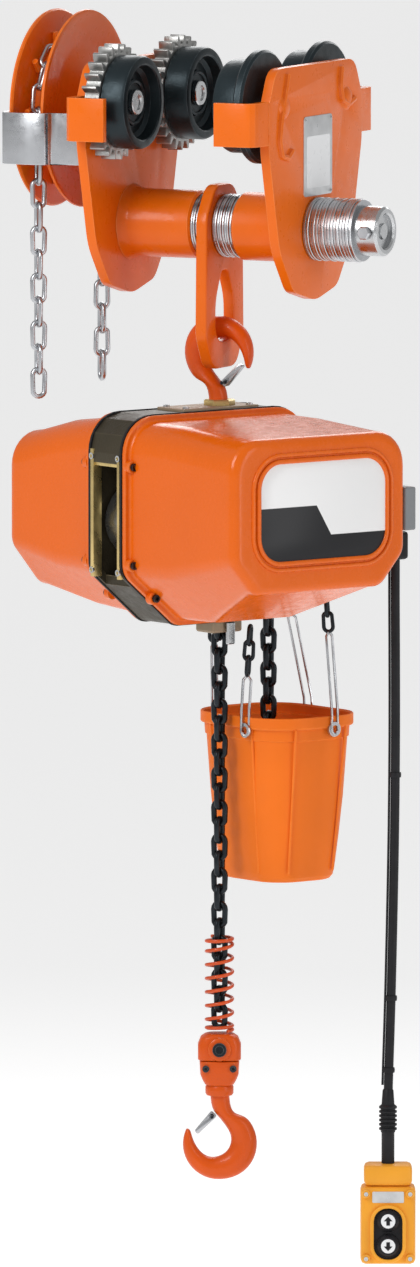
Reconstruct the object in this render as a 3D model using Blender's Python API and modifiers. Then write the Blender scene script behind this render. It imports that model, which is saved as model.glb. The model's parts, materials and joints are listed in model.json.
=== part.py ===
"""Electric chain hoist on a geared beam trolley, in metres, +Z up.

+X runs along the trolley's suspension shaft and +Y along the rail. The origin is the rail seat: the
middle of the trolley, at the height where its wheels stand on the rail's lower flange. The hoist hangs
from the shaft, turned about its own hook, and its pendant hangs from a cable at its side.
"""

import math

import bmesh
import bpy
from mathutils import Matrix, Vector

# ---------------------------------------------------------------- driving dimensions
GAP = 0.0003  # between pieces that touch on the real hoist
WALL_GAP = 0.0006  # round a shaft or pin that turns in its hole

# Trolley
PLATE_FACE = 0.128  # outer face of a side plate, from the middle
PLATE_THICK = 0.012
PLATE_TOP = 0.198  # heights are from the shaft's axis
PLATE_TIP = -0.086
ARM_CLEAR = 0.002  # between a gear's teeth and the buffer arm
ARM_THICK = 0.009
ARM_REACH = 0.055
ARM_HEIGHT = 0.052
ARM_Z = 0.134
ARM_STEP = 0.001  # how far the arm's sheet stands back from the plate's faces
TREAD_R = 0.056
TREAD_IN = 0.058  # tread's inner face
TREAD_WIDE = 0.032
WHEEL_Z = 0.151
WHEEL_BASE = 0.172
FLANGE_R = 0.068
FLANGE_THICK = 0.014
AXLE_R = 0.011
NUT_THICK = 0.010
DISH_DEEP = 0.014
MODULE = WHEEL_BASE / 34.4  # the pinion sits between the two gears
TOOTH_SHARE = 0.86  # of half a pitch, so that the teeth keep some backlash
GEAR_TEETH = 26
PINION_TEETH = 9
GEAR_WIDE = 0.019
PINION_SHAFT_R = 0.012
SHAFT_R = 0.030
SHAFT_SIDES = 24  # the shaft and all that slides on it are faceted alike
SHAFT_LEFT = -0.150
SHAFT_RIGHT = PLATE_FACE + 0.094
COLLAR_R = 0.041
WASHER_R = 0.038
WASHER_THICK = 0.0064
LEFT_WASHERS = 2
RIGHT_WASHERS = 4
OUTER_WASHERS = 10

# Hand wheel and its chain
WHEEL_R = 0.119
WHEEL_X = -0.200
WHEEL_WIDE = 0.046
GROOVE_R = 0.072
GROOVE_HALF = 0.0145
HAND_PITCH_R = 0.0855
HAND_CHAIN_R = 0.011
HAND_FRONT_END = -0.205
HAND_REAR_END = -0.224

# Suspender and hooks
LINK_RING_R = 0.050
LINK_WIDE = 0.105
LINK_SLOT = 0.049
LINK_SLOT_TOP = -0.054
LINK_BAR = 0.032  # depth of the bar that the top hook hangs on
SHANK_R = 0.0115
HOOK_OUT_R = 0.0468
TOP_BOWL_R = 0.024
LINK_THICK = 0.625 * TOP_BOWL_R  # the suspender hangs in the top hook's bowl
LOW_BOWL_R = 0.0218
BOWL_SIDE = 0.007  # bowl's centre beside the shank's axis
BOWL_RISE = 0.005  # bowl's centre nearer the shank than the outer circle's
LATCH_ANGLE = 158  # where the latch's end meets the tip, round the bowl's centre
TOP_HOOK_TOP = -0.106
LOW_HOOK_END = -1.1586  # lowest point of the bottom hook

# Hoist body, in its own directions: u towards the panel, w to the far side
HOIST_YAW = math.radians(-26)
BODY_MID_W = -0.035
BODY_MID_Z = -0.347
BODY_HALF_W = 0.138
BODY_HALF_H = 0.127
CHAMFER_W = 0.061
CHAMFER_Z = -0.062
FRAME_HALF = 0.032
FRAME_WALL = 0.006
FRONT_END = 0.240
REAR_END = -0.203
COVER_WALL = 0.003
COVER_FLANGE = 0.006
COVER_STEP = 0.007
SHEAVE_R = 0.0375
SHEAVE_Z = -0.347
SHEAVE_SHAFT_R = 0.012
SHEAVE_SHAFT_END = 0.056
MOTOR_W = -0.017
MOTOR_Z = -0.343
MOTOR_R = 0.078
MOTOR_LOW = -0.152
MOTOR_HIGH = -0.048
ROTOR_R = 0.034
ROTOR_SHAFT_R = 0.0045  # it passes beside the load chain
ROTOR_SHAFT_END = 0.060
GEAR_CASE_LOW = (0.062, -0.086, -0.417)
GEAR_CASE_HIGH = (0.118, 0.072, -0.267)
CONTROL_LOW = (0.135, -0.110, -0.392)
CONTROL_HIGH = (0.205, 0.050, -0.272)
CHAIN_HALF = 0.011
CHAIN_WIRE = 0.0071
LOAD_CHAIN_TOP = -0.365
SPRING_TOP = -0.859
SPRING_LONG = 0.117
SPRING_R = 0.0158
SPRING_WIRE = 0.0044
SPRING_TURNS = 8.5
BLOCK_LONG = 0.063
BLOCK_WIDE = 0.052
BLOCK_DEEP = 0.040
HOOK_YAW = math.radians(26)

# Chain bucket
BUCKET_U = 0.170
BUCKET_W = 0.140
BUCKET_MID_W = 0.088
BUCKET_TOP = -0.592
BUCKET_BOTTOM = -0.794
BUCKET_TAPER = 0.75
BUCKET_WALL = 0.003
SLACK_END = -0.690
HANGER_R = 0.0016
HANGER_OUT = 0.0062  # hanger's line outside the rim
HANGER_TOPS = {"near": (0.035, 0.020, -0.480), "right": (0.083, 0.096, -0.428),
               "far": (-0.035, 0.122, -0.420), "left": (-0.083, 0.056, -0.452)}

# Pendant
CABLE_R = 0.0055
GLAND_U = 0.191
GLAND_W = 0.118
GLAND_LOW = -0.395
PENDANT_WIDE = 0.066
PENDANT_DEEP = 0.046
PENDANT_END = -1.245
CASE_TOP = -1.151
CAP_TOP = -1.125
BUTTON_R = 0.0135
BUTTON_RISE = 0.008
BUTTON_TRAVEL = 0.004
BUTTON_WELL = 0.009
BUTTONS = {"up_button": -1.1914, "down_button": -1.2216}
CABLE_ROUTE = [
    (0.2234, 0.0223, -0.396), (0.2234, 0.0223, -0.440), (0.2236, 0.0225, -0.490),
    (0.2238, 0.0226, -0.550), (0.2238, 0.0226, -0.610), (0.2235, 0.0224, -0.670),
    (0.2229, 0.0221, -0.730), (0.2220, 0.0217, -0.790), (0.2209, 0.0212, -0.850),
    (0.2197, 0.0206, -0.910), (0.2185, 0.0200, -0.960), (0.2174, 0.0194, -1.000),
    (0.2166, 0.0190, -1.030), (0.2162, 0.0188, -1.053),
]

# ---------------------------------------------------------------- sizes that follow
SHAFT_DROP = WHEEL_Z - TREAD_R  # shaft's axis below the rail seat
PLATE_IN = PLATE_FACE - PLATE_THICK
TREAD_OUT = TREAD_IN + TREAD_WIDE
WHEEL_Y = WHEEL_BASE / 2
PLATE_HALF = WHEEL_Y + 0.042  # half length of a side plate along the rail
GEAR_R = MODULE * GEAR_TEETH / 2
PINION_R = MODULE * PINION_TEETH / 2
ARM_OUT = WHEEL_Y + GEAR_R + MODULE + ARM_CLEAR + ARM_THICK  # buffer arm's outer face along the rail
HAND_AXIS_Z = WHEEL_Z - math.sqrt((GEAR_R + PINION_R) ** 2 - WHEEL_Y**2)
LINK_BAR_TOP = TOP_HOOK_TOP - HOOK_OUT_R - BOWL_RISE + math.sqrt(
    TOP_BOWL_R**2 - (BOWL_SIDE + LINK_THICK / 2) ** 2
) - 0.0008
SLACK_W = 2 * SHEAVE_R
SPRING_END = SPRING_TOP - SPRING_LONG
BLOCK_TOP = SPRING_END - 0.001
BLOCK_END = BLOCK_TOP - BLOCK_LONG
FACING_X = Matrix(((0, 0, 1, 0), (1, 0, 0, 0), (0, 1, 0, 0), (0, 0, 0, 1)))
FACING_BACK = Matrix.Rotation(math.pi / 2, 4, "X")
ALONG_X = Matrix.Rotation(math.pi / 2, 4, "Y")
ALONG_Y = Matrix.Rotation(-math.pi / 2, 4, "X")


# ---------------------------------------------------------------- scene and helpers
def clear_scene():
    for obj in list(bpy.data.objects):
        bpy.data.objects.remove(obj)


def new_collection(name):
    found = bpy.data.collections.new(name)
    bpy.context.scene.collection.children.link(found)
    return found


clear_scene()
PARTS = new_collection("chain_hoist")
HELPERS = new_collection("cutters")
PAINTS = {
    "orange_paint": ((0.83, 0.16, 0.02), 0.35, 0.0),
    "cover_paint": ((0.80, 0.13, 0.01), 0.18, 0.0),
    "hook_paint": ((0.72, 0.09, 0.01), 0.40, 0.0),
    "graphite_iron": ((0.03, 0.045, 0.05), 0.45, 0.6),
    "bright_steel": ((0.62, 0.63, 0.64), 0.30, 1.0),
    "zinc_plate": ((0.70, 0.71, 0.72), 0.35, 1.0),
    "black_steel": ((0.02, 0.022, 0.025), 0.40, 0.7),
    "frame_olive": ((0.10, 0.085, 0.055), 0.50, 0.3),
    "bucket_plastic": ((0.86, 0.20, 0.015), 0.55, 0.0),
    "spring_paint": ((0.60, 0.06, 0.01), 0.40, 0.0),
    "pendant_plastic": ((0.85, 0.33, 0.03), 0.45, 0.0),
    "black_rubber": ((0.015, 0.015, 0.017), 0.60, 0.0),
    "control_plastic": ((0.30, 0.31, 0.32), 0.45, 0.0),
    "motor_iron": ((0.22, 0.23, 0.24), 0.55, 0.6),
}


def paint(name):
    made = bpy.data.materials.get(name)
    if made is None:
        colour, roughness, metallic = PAINTS[name]
        made = bpy.data.materials.new(name)
        made.use_nodes = True
        shader = made.node_tree.nodes["Principled BSDF"]
        shader.inputs["Base Color"].default_value = (*colour, 1)
        shader.inputs["Roughness"].default_value = roughness
        shader.inputs["Metallic"].default_value = metallic
    return made


def place(obj, parent, matrix, material, cutter=False):
    """Puts an object under its parent empty, and a cutter or helper out of the render."""
    (HELPERS if cutter else PARTS).objects.link(obj)
    obj.parent = parent
    obj.matrix_local = matrix
    if cutter:
        obj.hide_render = True
        obj.display_type = "WIRE"
    if material:
        obj.data.materials.append(paint(material))
    return obj


def axis_empty(name, location, yaw=0.0, parent=None):
    empty = bpy.data.objects.new(name, None)
    PARTS.objects.link(empty)
    empty.parent = parent
    empty.location = location
    empty.rotation_euler = (0, 0, yaw)
    return empty


def mesh_object(name, bm, parent, matrix, material, cutter=False):
    mesh = bpy.data.meshes.new(name)
    bm.to_mesh(mesh)
    bm.free()
    return place(bpy.data.objects.new(name, mesh), parent, matrix, material, cutter)


def box(name, low, high, parent, material=None, cutter=False, bevel=0.0):
    low, high = Vector(low), Vector(high)
    bm = bmesh.new()
    bmesh.ops.create_cube(bm, size=1)
    bmesh.ops.scale(bm, vec=high - low, verts=bm.verts)
    made = mesh_object(
        name, bm, parent, Matrix.Translation((low + high) / 2), material, cutter
    )
    if bevel:
        round_edges(made, bevel)
    return made


def round_edges(obj, width, segments=2, angle=40):
    modifier = obj.modifiers.new("rounding", "BEVEL")
    modifier.width = width
    modifier.segments = segments
    modifier.limit_method = "ANGLE"
    modifier.angle_limit = math.radians(angle)
    return obj


def cylinder(name, radius, low, high, parent, turn, material=None, cutter=False, sides=24):
    """A cylinder from low to high along the third axis of turn's matrix."""
    bm = bmesh.new()
    bmesh.ops.create_cone(
        bm, cap_ends=True, segments=sides, radius1=radius, radius2=radius, depth=high - low
    )
    bmesh.ops.translate(bm, vec=(0, 0, (low + high) / 2), verts=bm.verts)
    made = mesh_object(name, bm, parent, turn, material, cutter)
    smooth(made)
    return made


def smooth(obj, angle=35):
    if obj.type == "MESH":
        obj.data.shade_smooth()
        obj.data.set_sharp_from_angle(angle=math.radians(angle))
    return obj


def turned(name, profile, parent, turn, material, sides=28, ring=False, cutter=False):
    """A profile of (radius, height) down its outer side, swept round the local Z axis."""
    mesh = bpy.data.meshes.new(name)
    count = len(profile)
    edges = [(i, i + 1) for i in range(count - 1)]
    if ring:
        edges.append((count - 1, 0))
    mesh.from_pydata([(radius, 0, height) for radius, height in profile], edges, [])
    made = place(bpy.data.objects.new(name, mesh), parent, turn, material, cutter)
    screw = made.modifiers.new("turning", "SCREW")
    screw.steps = screw.render_steps = sides
    screw.use_merge_vertices = True
    screw.merge_threshold = 0.00001
    return made


def rounded(corners, steps=4):
    """An outline through (x, y, radius) corners, with each corner turned into an arc."""
    outline = []
    count = len(corners)
    for i, (x, y, radius) in enumerate(corners):
        here = Vector((x, y))
        back = (Vector(corners[i - 1][:2]) - here).normalized()
        ahead = (Vector(corners[(i + 1) % count][:2]) - here).normalized()
        half = back.angle(ahead) / 2
        centre = here + (back + ahead).normalized() * radius / math.sin(half)
        first = here + back * radius / math.tan(half) - centre
        last = here + ahead * radius / math.tan(half) - centre
        turn = math.atan2(first.cross(last), first.dot(last))
        for step in range(steps + 1):
            angle = turn * step / steps
            spun = Matrix.Rotation(angle, 2) @ first
            outline.append((centre + spun)[:])
    return outline


def mirrored(half):
    """A whole outline from its right half, listed from the bottom to the top."""
    left = [(-x, y, radius) for x, y, radius in reversed(half) if x > 0]
    return half + left


def circle(x, y, radius, sides=24):
    step = 2 * math.pi / sides
    return [
        (x + radius * math.cos(i * step), y + radius * math.sin(i * step))
        for i in range(sides)
    ]


def plate(name, outlines, low, high, parent, turn, material=None, cutter=False):
    """Flat outlines, the later ones as holes, filled and made thick from low to high."""
    curve = bpy.data.curves.new(name, "CURVE")
    curve.dimensions = "2D"
    curve.fill_mode = "BOTH"
    curve.extrude = (high - low) / 2
    for outline in outlines:
        spline = curve.splines.new("POLY")
        spline.points.add(len(outline) - 1)
        for point, (x, y) in zip(spline.points, outline):
            point.co = (x, y, 0, 1)
        spline.use_cyclic_u = True
    lifted = turn @ Matrix.Translation((0, 0, (low + high) / 2))
    flat = place(bpy.data.objects.new(name, curve), None, Matrix(), None)
    return place(as_mesh(flat), parent, lifted, material, cutter)


def as_mesh(obj):
    """The same shape as a mesh with its caps welded, so that modifiers can follow."""
    name = obj.name
    bpy.context.view_layer.update()
    graph = bpy.context.evaluated_depsgraph_get()
    mesh = bpy.data.meshes.new_from_object(obj.evaluated_get(graph))
    bpy.data.objects.remove(obj)
    bm = bmesh.new()
    bm.from_mesh(mesh)
    bmesh.ops.remove_doubles(bm, verts=bm.verts, dist=0.000001)
    bm.to_mesh(mesh)
    bm.free()
    mesh.name = name
    return bpy.data.objects.new(name, mesh)


def wire(name, points, radius, parent, material, resolution=2, cyclic=False):
    curve = bpy.data.curves.new(name, "CURVE")
    curve.dimensions = "3D"
    curve.bevel_depth = radius
    curve.bevel_resolution = resolution
    curve.use_fill_caps = True
    spline = curve.splines.new("POLY")
    spline.points.add(len(points) - 1)
    for point, place_at in zip(spline.points, points):
        point.co = (*place_at, 1)
    spline.use_cyclic_u = cyclic
    return place(bpy.data.objects.new(name, curve), parent, Matrix(), material)


def boolean(target, other, operation):
    modifier = target.modifiers.new(other.name, "BOOLEAN")
    modifier.operation = operation
    modifier.object = other
    modifier.solver = "EXACT"
    return target


def cut(target, *others):
    for other in others:
        boolean(target, other, "DIFFERENCE")
    return target


def join(target, *others):
    for other in others:
        boolean(target, other, "UNION")
    return target


def loft(name, rings, parent, turn, material, close_start=True, close_end=True):
    """Skins rings of equal length, each a list of points, and caps the ends asked for."""
    bm = bmesh.new()
    loops = [[bm.verts.new(point) for point in ring] for ring in rings]
    for first, second in zip(loops, loops[1:]):
        for i in range(len(first)):
            j = (i + 1) % len(first)
            bm.faces.new((first[i], first[j], second[j], second[i]))
    if close_start:
        bm.faces.new(reversed(loops[0]))
    if close_end:
        bm.faces.new(loops[-1])
    bmesh.ops.recalc_face_normals(bm, faces=bm.faces)
    return smooth(mesh_object(name, bm, parent, turn, material))


# ---------------------------------------------------------------- reference axes
trolley = axis_empty("trolley_axis", (0, 0, -SHAFT_DROP))
hoist = axis_empty("hoist_axis", (0, 0, 0), HOIST_YAW, trolley)
hook_line = axis_empty("hook_axis", (0, 0, 0), HOOK_YAW, trolley)
WHEEL_ENDS = {"front": -1, "rear": 1}
SIDES = {"left": -1, "right": 1}


# ---------------------------------------------------------------- trolley frame
def side_plate(side):
    """Pressed plate with a buffer arm folded inboard at each end, bored for shaft and axles."""
    hand = SIDES[side]
    inner, outer = sorted((hand * PLATE_IN, hand * PLATE_FACE))
    outline = mirrored(
        [
            (0, PLATE_TIP, 0.060),
            (0.060, PLATE_TIP + 0.014, 0.028),
            (PLATE_HALF * 0.77, -0.022, 0.080),
            (PLATE_HALF, 0.100, 0.060),
            (PLATE_HALF, 0.155, 0.016),
            (PLATE_HALF - 0.020, PLATE_TOP, 0.024),
        ]
    )
    holes = [circle(0, 0, SHAFT_R + WALL_GAP)]
    holes += [circle(end * WHEEL_Y, WHEEL_Z, AXLE_R + WALL_GAP, 16) for end in (-1, 1)]
    if side == "left":
        holes.append(circle(0, HAND_AXIS_Z, PINION_SHAFT_R + WALL_GAP, 20))
    made = plate(f"{side}_side_plate", [rounded(outline)] + holes, inner, outer, trolley,
                 FACING_X, "orange_paint")
    for end, sign in WHEEL_ENDS.items():
        tip = hand * (PLATE_FACE - ARM_REACH)
        root = hand * (PLATE_FACE - ARM_STEP)
        flange = rounded(
            [
                (root, sign * (PLATE_HALF - 0.010), 0.001),
                (root, sign * ARM_OUT, 0.014),
                (tip, sign * ARM_OUT, 0.001),
                (tip, sign * (ARM_OUT - ARM_THICK), 0.001),
                (hand * (PLATE_IN + ARM_STEP), sign * (ARM_OUT - ARM_THICK), 0.004),
                (hand * (PLATE_IN + ARM_STEP), sign * (PLATE_HALF - 0.010), 0.001),
            ],
            3,
        )
        arm = plate(f"{side}_{end}_arm", [flange], ARM_Z - ARM_HEIGHT / 2,
                    ARM_Z + ARM_HEIGHT / 2, trolley, Matrix(), None, True)
        join(made, arm)
    return made


def washer_pack(name, count, start):
    """Spacing washers side by side, turned as one stack with a shallow groove at each joint."""
    profile = []
    for i in reversed(range(count)):
        low, high = start + i * WASHER_THICK, start + (i + 1) * WASHER_THICK
        profile.append((WASHER_R, (low + high) / 2))
        if i:
            profile.append((WASHER_R - 0.0010, low))
    top, bottom = start + count * WASHER_THICK, start
    inner = SHAFT_R + GAP
    profile = [(inner, top), (WASHER_R - 0.0010, top)] + profile
    profile += [(WASHER_R - 0.0010, bottom), (inner, bottom)]
    return turned(name, profile, trolley, ALONG_X, "zinc_plate", SHAFT_SIDES, ring=True)


def collar(side, low, high):
    """Tube that holds a side plate at its distance, with a small flare at the plate."""
    inner = SHAFT_R + GAP
    flare = COLLAR_R + 0.004
    profile = [(inner, high), (COLLAR_R - 0.002, high), (COLLAR_R, high - 0.002)]
    profile += [(COLLAR_R, low + 0.012), (flare, low), (inner, low)]
    if side == "right":
        profile = [(radius, low + high - height) for radius, height in reversed(profile)]
    return turned(f"{side}_collar", profile, trolley, ALONG_X, "orange_paint", SHAFT_SIDES, ring=True)


def trolley_frame():
    for side in SIDES:
        side_plate(side)
    groove = 0.006
    turned(
        "suspension_shaft",
        [
            (0, SHAFT_RIGHT - groove),
            (SHAFT_R - 0.010, SHAFT_RIGHT - groove),
            (SHAFT_R - 0.006, SHAFT_RIGHT),
            (SHAFT_R - 0.002, SHAFT_RIGHT),
            (SHAFT_R, SHAFT_RIGHT - 0.002),
            (SHAFT_R, SHAFT_LEFT + 0.002),
            (SHAFT_R - 0.002, SHAFT_LEFT),
            (0, SHAFT_LEFT),
        ],
        trolley, ALONG_X, "bright_steel", SHAFT_SIDES,
    )
    shaft = bpy.data.objects["suspension_shaft"]
    bolt_x = SHAFT_RIGHT - 0.014
    across = Matrix.Translation((bolt_x, 0, 0)) @ ALONG_Y
    cut(shaft, cylinder("lock_bolt_hole", 0.0055, -0.05, 0.05, trolley, across, None, True, 12))
    bolt = cylinder("shaft_lock_bolt", 0.005, -SHAFT_R - 0.002, SHAFT_R + 0.004, trolley, across,
                    "zinc_plate", sides=12)
    join(bolt, cylinder("lock_bolt_head", 0.008, -SHAFT_R - 0.007, -SHAFT_R - 0.001, trolley,
                        across, None, True, 6))
    half = LINK_THICK / 2 + WALL_GAP
    left = half + LEFT_WASHERS * WASHER_THICK
    right = half + RIGHT_WASHERS * WASHER_THICK
    washer_pack("inner_washers_left", LEFT_WASHERS, -left)
    washer_pack("inner_washers_right", RIGHT_WASHERS, half)
    washer_pack("outer_washers", OUTER_WASHERS, PLATE_FACE + GAP)
    collar("left", -PLATE_IN + GAP, -left - GAP)
    collar("right", right + GAP, PLATE_IN - GAP)


# ---------------------------------------------------------------- wheels, gears and hand wheel
def wheel_matrix(end, hand):
    """Local Z along the axle, outboard, from the wheel's centre on the middle plane."""
    turn = Matrix.Rotation(hand * math.pi / 2, 4, "Y")
    return Matrix.Translation((0, WHEEL_ENDS[end] * WHEEL_Y, WHEEL_Z)) @ turn


def wheel_axle(end, side):
    """Shouldered pin through the plate, with its nut outboard and its head in the wheel's dish."""
    nut, head = AXLE_R + 0.007, AXLE_R + 0.004
    inside = TREAD_IN + DISH_DEEP
    profile = [
        (0, PLATE_FACE + NUT_THICK), (nut, PLATE_FACE + NUT_THICK), (nut, PLATE_FACE + GAP),
        (AXLE_R, PLATE_FACE + GAP), (AXLE_R, inside), (head, inside), (head, inside - 0.006),
        (0, inside - 0.006),
    ]
    turned(f"{side}_{end}_axle", profile, trolley, wheel_matrix(end, SIDES[side]),
           "bright_steel", 12)


def wheel_dish(bore):
    """The inboard half of a wheel's section, from the tread's corner to the bore."""
    back = TREAD_IN + DISH_DEEP
    return [
        (TREAD_R - 0.010, TREAD_IN), (TREAD_R - 0.014, back + 0.004), (AXLE_R + 0.012, back + 0.004),
        (AXLE_R + 0.010, back + GAP), (bore, back + GAP),
    ]


def running_wheel(end, side):
    """Cast wheel with a dished face. The plain ones carry a flange outboard of the tread."""
    bore = AXLE_R + WALL_GAP
    tread = [(TREAD_R - 0.001, TREAD_OUT - GAP), (TREAD_R, TREAD_IN + 0.004),
             (TREAD_R - 0.004, TREAD_IN)]
    if side == "right":
        outer = TREAD_OUT + FLANGE_THICK
        rim = [(bore, outer), (FLANGE_R - 0.003, outer), (FLANGE_R, outer - 0.003),
               (FLANGE_R, TREAD_OUT + 0.001), (TREAD_R, TREAD_OUT)]
        name = f"plain_wheel_{end}"
    else:
        rim = [(bore, TREAD_OUT - GAP)]
        name = f"drive_wheel_{end}"
    return turned(name, rim + tread + wheel_dish(bore), trolley, wheel_matrix(end, SIDES[side]),
                  "graphite_iron", 24, ring=True)


def gear_outline(teeth, phase):
    """Involute teeth with a 20 degree pressure angle; phase is the angle of one tooth's middle."""
    pitch_r = MODULE * teeth / 2
    base_r = pitch_r * math.cos(math.radians(20))
    root_r, tip_r = pitch_r - 1.2 * MODULE, pitch_r + 0.92 * MODULE

    def spread(radius):
        return math.sqrt(max((radius / base_r) ** 2 - 1, 0))

    def swing(radius):
        return spread(radius) - math.atan(spread(radius))

    half = math.pi / (2 * teeth) * TOOTH_SHARE
    outline = []
    for tooth in range(teeth):
        middle = phase + 2 * math.pi * tooth / teeth
        flank = []
        for radius in (max(base_r, root_r), tip_r):
            angle = half + swing(pitch_r) - swing(radius)
            flank.append((radius, angle))
        if base_r > root_r:
            flank.insert(0, (root_r, flank[0][1] * 0.92))
        points = [(radius, -angle) for radius, angle in flank]
        points += [(radius, angle) for radius, angle in reversed(flank)]
        outline += [
            (radius * math.cos(middle + angle), radius * math.sin(middle + angle))
            for radius, angle in points
        ]
    return outline


def drive_train():
    """Hand wheel, its shaft with the pinion, and the two toothed rings that it drives."""
    pinion_phase = math.pi / 2
    gear_low = -TREAD_OUT - GEAR_WIDE
    for end, sign in WHEEL_ENDS.items():
        toward = math.atan2(WHEEL_Z - HAND_AXIS_Z, sign * WHEEL_Y)
        turned_by = (toward - pinion_phase) * PINION_TEETH / (2 * math.pi)
        phase = toward + math.pi - (2 * math.pi / GEAR_TEETH) * (0.5 - turned_by)
        centre = Matrix.Translation((0, sign * WHEEL_Y, WHEEL_Z)) @ FACING_X
        bore = circle(0, 0, AXLE_R + WALL_GAP, 16)
        plate(f"drive_gear_{end}", [gear_outline(GEAR_TEETH, phase), bore], gear_low, -TREAD_OUT,
              trolley, centre, "bright_steel")
        running_wheel(end, "left")
        running_wheel(end, "right")
        for side in SIDES:
            wheel_axle(end, side)
    middle = Matrix.Translation((0, 0, HAND_AXIS_Z))
    bore = circle(0, 0, PINION_SHAFT_R + GAP, 20)
    plate("drive_pinion", [gear_outline(PINION_TEETH, pinion_phase), bore], gear_low - 0.001,
          -TREAD_OUT - 0.001, trolley, middle @ FACING_X, "bright_steel")
    cylinder("hand_wheel_shaft", PINION_SHAFT_R, WHEEL_X - 0.034, -TREAD_OUT + 0.004, trolley,
             middle @ ALONG_X, "bright_steel", sides=20)
    half = WHEEL_WIDE / 2
    rim = 0.004
    hub_end = -PLATE_FACE - 0.012
    bore = PINION_SHAFT_R + GAP
    profile = [
        (bore, hub_end), (0.028, hub_end), (0.034, WHEEL_X + 0.030),
        (GROOVE_R + 0.004, WHEEL_X + 0.017), (WHEEL_R - 0.001, WHEEL_X + half),
        (WHEEL_R - 0.001, WHEEL_X + half - rim), (GROOVE_R, WHEEL_X + GROOVE_HALF - 0.001),
        (GROOVE_R, WHEEL_X - GROOVE_HALF + 0.001), (WHEEL_R - 0.001, WHEEL_X - half + rim),
        (WHEEL_R - 0.001, WHEEL_X - half), (GROOVE_R + 0.004, WHEEL_X - 0.017),
        (0.028, WHEEL_X - 0.030), (bore, WHEEL_X - 0.030),
    ]
    turned("hand_wheel", profile, trolley, middle @ ALONG_X, "orange_paint", 28, ring=True)


def hand_chain():
    """Outer form of the endless hand chain: over the wheel and down both sides."""
    steps = 14
    points = [(WHEEL_X, -HAND_PITCH_R, HAND_FRONT_END)]
    for i in range(steps + 1):
        angle = math.pi - math.pi * i / steps
        points.append((WHEEL_X, HAND_PITCH_R * math.cos(angle),
                       HAND_AXIS_Z + HAND_PITCH_R * math.sin(angle)))
    points.append((WHEEL_X, HAND_PITCH_R, HAND_REAR_END))
    wire("hand_chain", points, HAND_CHAIN_R, trolley, "zinc_plate", 1)


def chain_guide():
    """Flat steel strip bent round the wheel's front edge, on an arm from the side plate."""
    half = WHEEL_WIDE / 2 + 0.005
    thick = 0.004
    front = WHEEL_R + 0.006
    arm_x = -PLATE_FACE - GAP
    outer = rounded(
        [
            (WHEEL_X - half - thick, -0.055, 0.001), (WHEEL_X - half - thick, -front - thick, 0.012),
            (WHEEL_X + half + thick, -front - thick, 0.012), (WHEEL_X + half + thick, -0.118, 0.008),
            (arm_x, -0.112, 0.001), (arm_x, -0.112 + thick, 0.001),
            (WHEEL_X + half, -0.118 + thick, 0.003), (WHEEL_X + half, -front, 0.008),
            (WHEEL_X - half, -front, 0.008), (WHEEL_X - half, -0.055, 0.001),
        ],
        2,
    )
    plate("chain_guide", [outer], HAND_AXIS_Z - 0.060, HAND_AXIS_Z + 0.002, trolley, Matrix(),
          "zinc_plate")


# ---------------------------------------------------------------- suspender and hooks
def suspender():
    """Forged link: a ring round the shaft, two legs and a bar for the top hook."""
    bottom = LINK_BAR_TOP - LINK_BAR
    half = LINK_WIDE / 2
    outline = mirrored(
        [
            (half * 0.62, bottom, 0.022), (half, bottom + 0.040, 0.030),
            (half - 0.002, -0.030, 0.020), (LINK_RING_R, 0.012, 0.030),
            (LINK_RING_R * 0.5, LINK_RING_R, 0.026),
        ]
    )
    slot = mirrored(
        [
            (LINK_SLOT / 2, LINK_BAR_TOP, 0.020), (LINK_SLOT / 2, -0.090, 0.060),
            (0.008, LINK_SLOT_TOP, 0.0075),
        ]
    )
    half_thick = LINK_THICK / 2
    plate("suspender", [rounded(outline), rounded(slot), circle(0, 0, SHAFT_R + WALL_GAP, 32)],
          -half_thick, half_thick, trolley, FACING_X, "orange_paint")


def hook(name, bowl_r, outer_centre_z, up, shank_end, parent, material):
    """Forged hook in its own XZ plane. up is 1 for a hook on a shank above it, -1 for the reverse."""
    side, rise = -BOWL_SIDE * up, BOWL_RISE * up
    inner = Vector((side, outer_centre_z + rise))
    outer = Vector((side + 0.008 * up, outer_centre_z))
    sides = 12

    def ring(centre, across, wide, deep):
        loop = []
        for i in range(sides):
            angle = 2 * math.pi * i / sides
            out = across * (wide * math.cos(angle))
            loop.append((centre.x + out.x, deep * math.sin(angle), centre.y + out.y))
        return loop

    across = Vector((up, 0))
    neck = inner.y + up * (bowl_r + 0.016)
    rings = [
        ring(Vector((0, shank_end)), across, SHANK_R, SHANK_R),
        ring(Vector((0, neck)), across, SHANK_R, SHANK_R),
    ]
    spans = [(62, 1.0, 0.0125), (35, 1.0, 0.012), (5, 1.0, 0.012), (-25, 1.0, 0.0125),
             (-55, 1.0, 0.013), (-90, 1.0, 0.013), (-120, 1.0, 0.0125), (-150, 1.0, 0.011),
             (-178, 0.80, 0.009), (-200, 0.42, 0.006)]
    for degrees, share, deep in spans:
        angle = math.radians(degrees)
        ray = Vector((math.cos(angle), math.sin(angle))) * up
        from_outer = inner - outer
        along = ray.dot(from_outer)
        reach = -along + math.sqrt(along**2 - from_outer.length_squared + HOOK_OUT_R**2)
        wide = (reach - bowl_r) / 2 * share
        opened = 0.5 * (reach - bowl_r) * (1 - share)
        centre = inner + ray * ((reach + bowl_r) / 2 + opened * 0.6)
        rings.append(ring(centre, ray, wide, deep))
    return loft(name, rings, parent, Matrix(), material)


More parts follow.
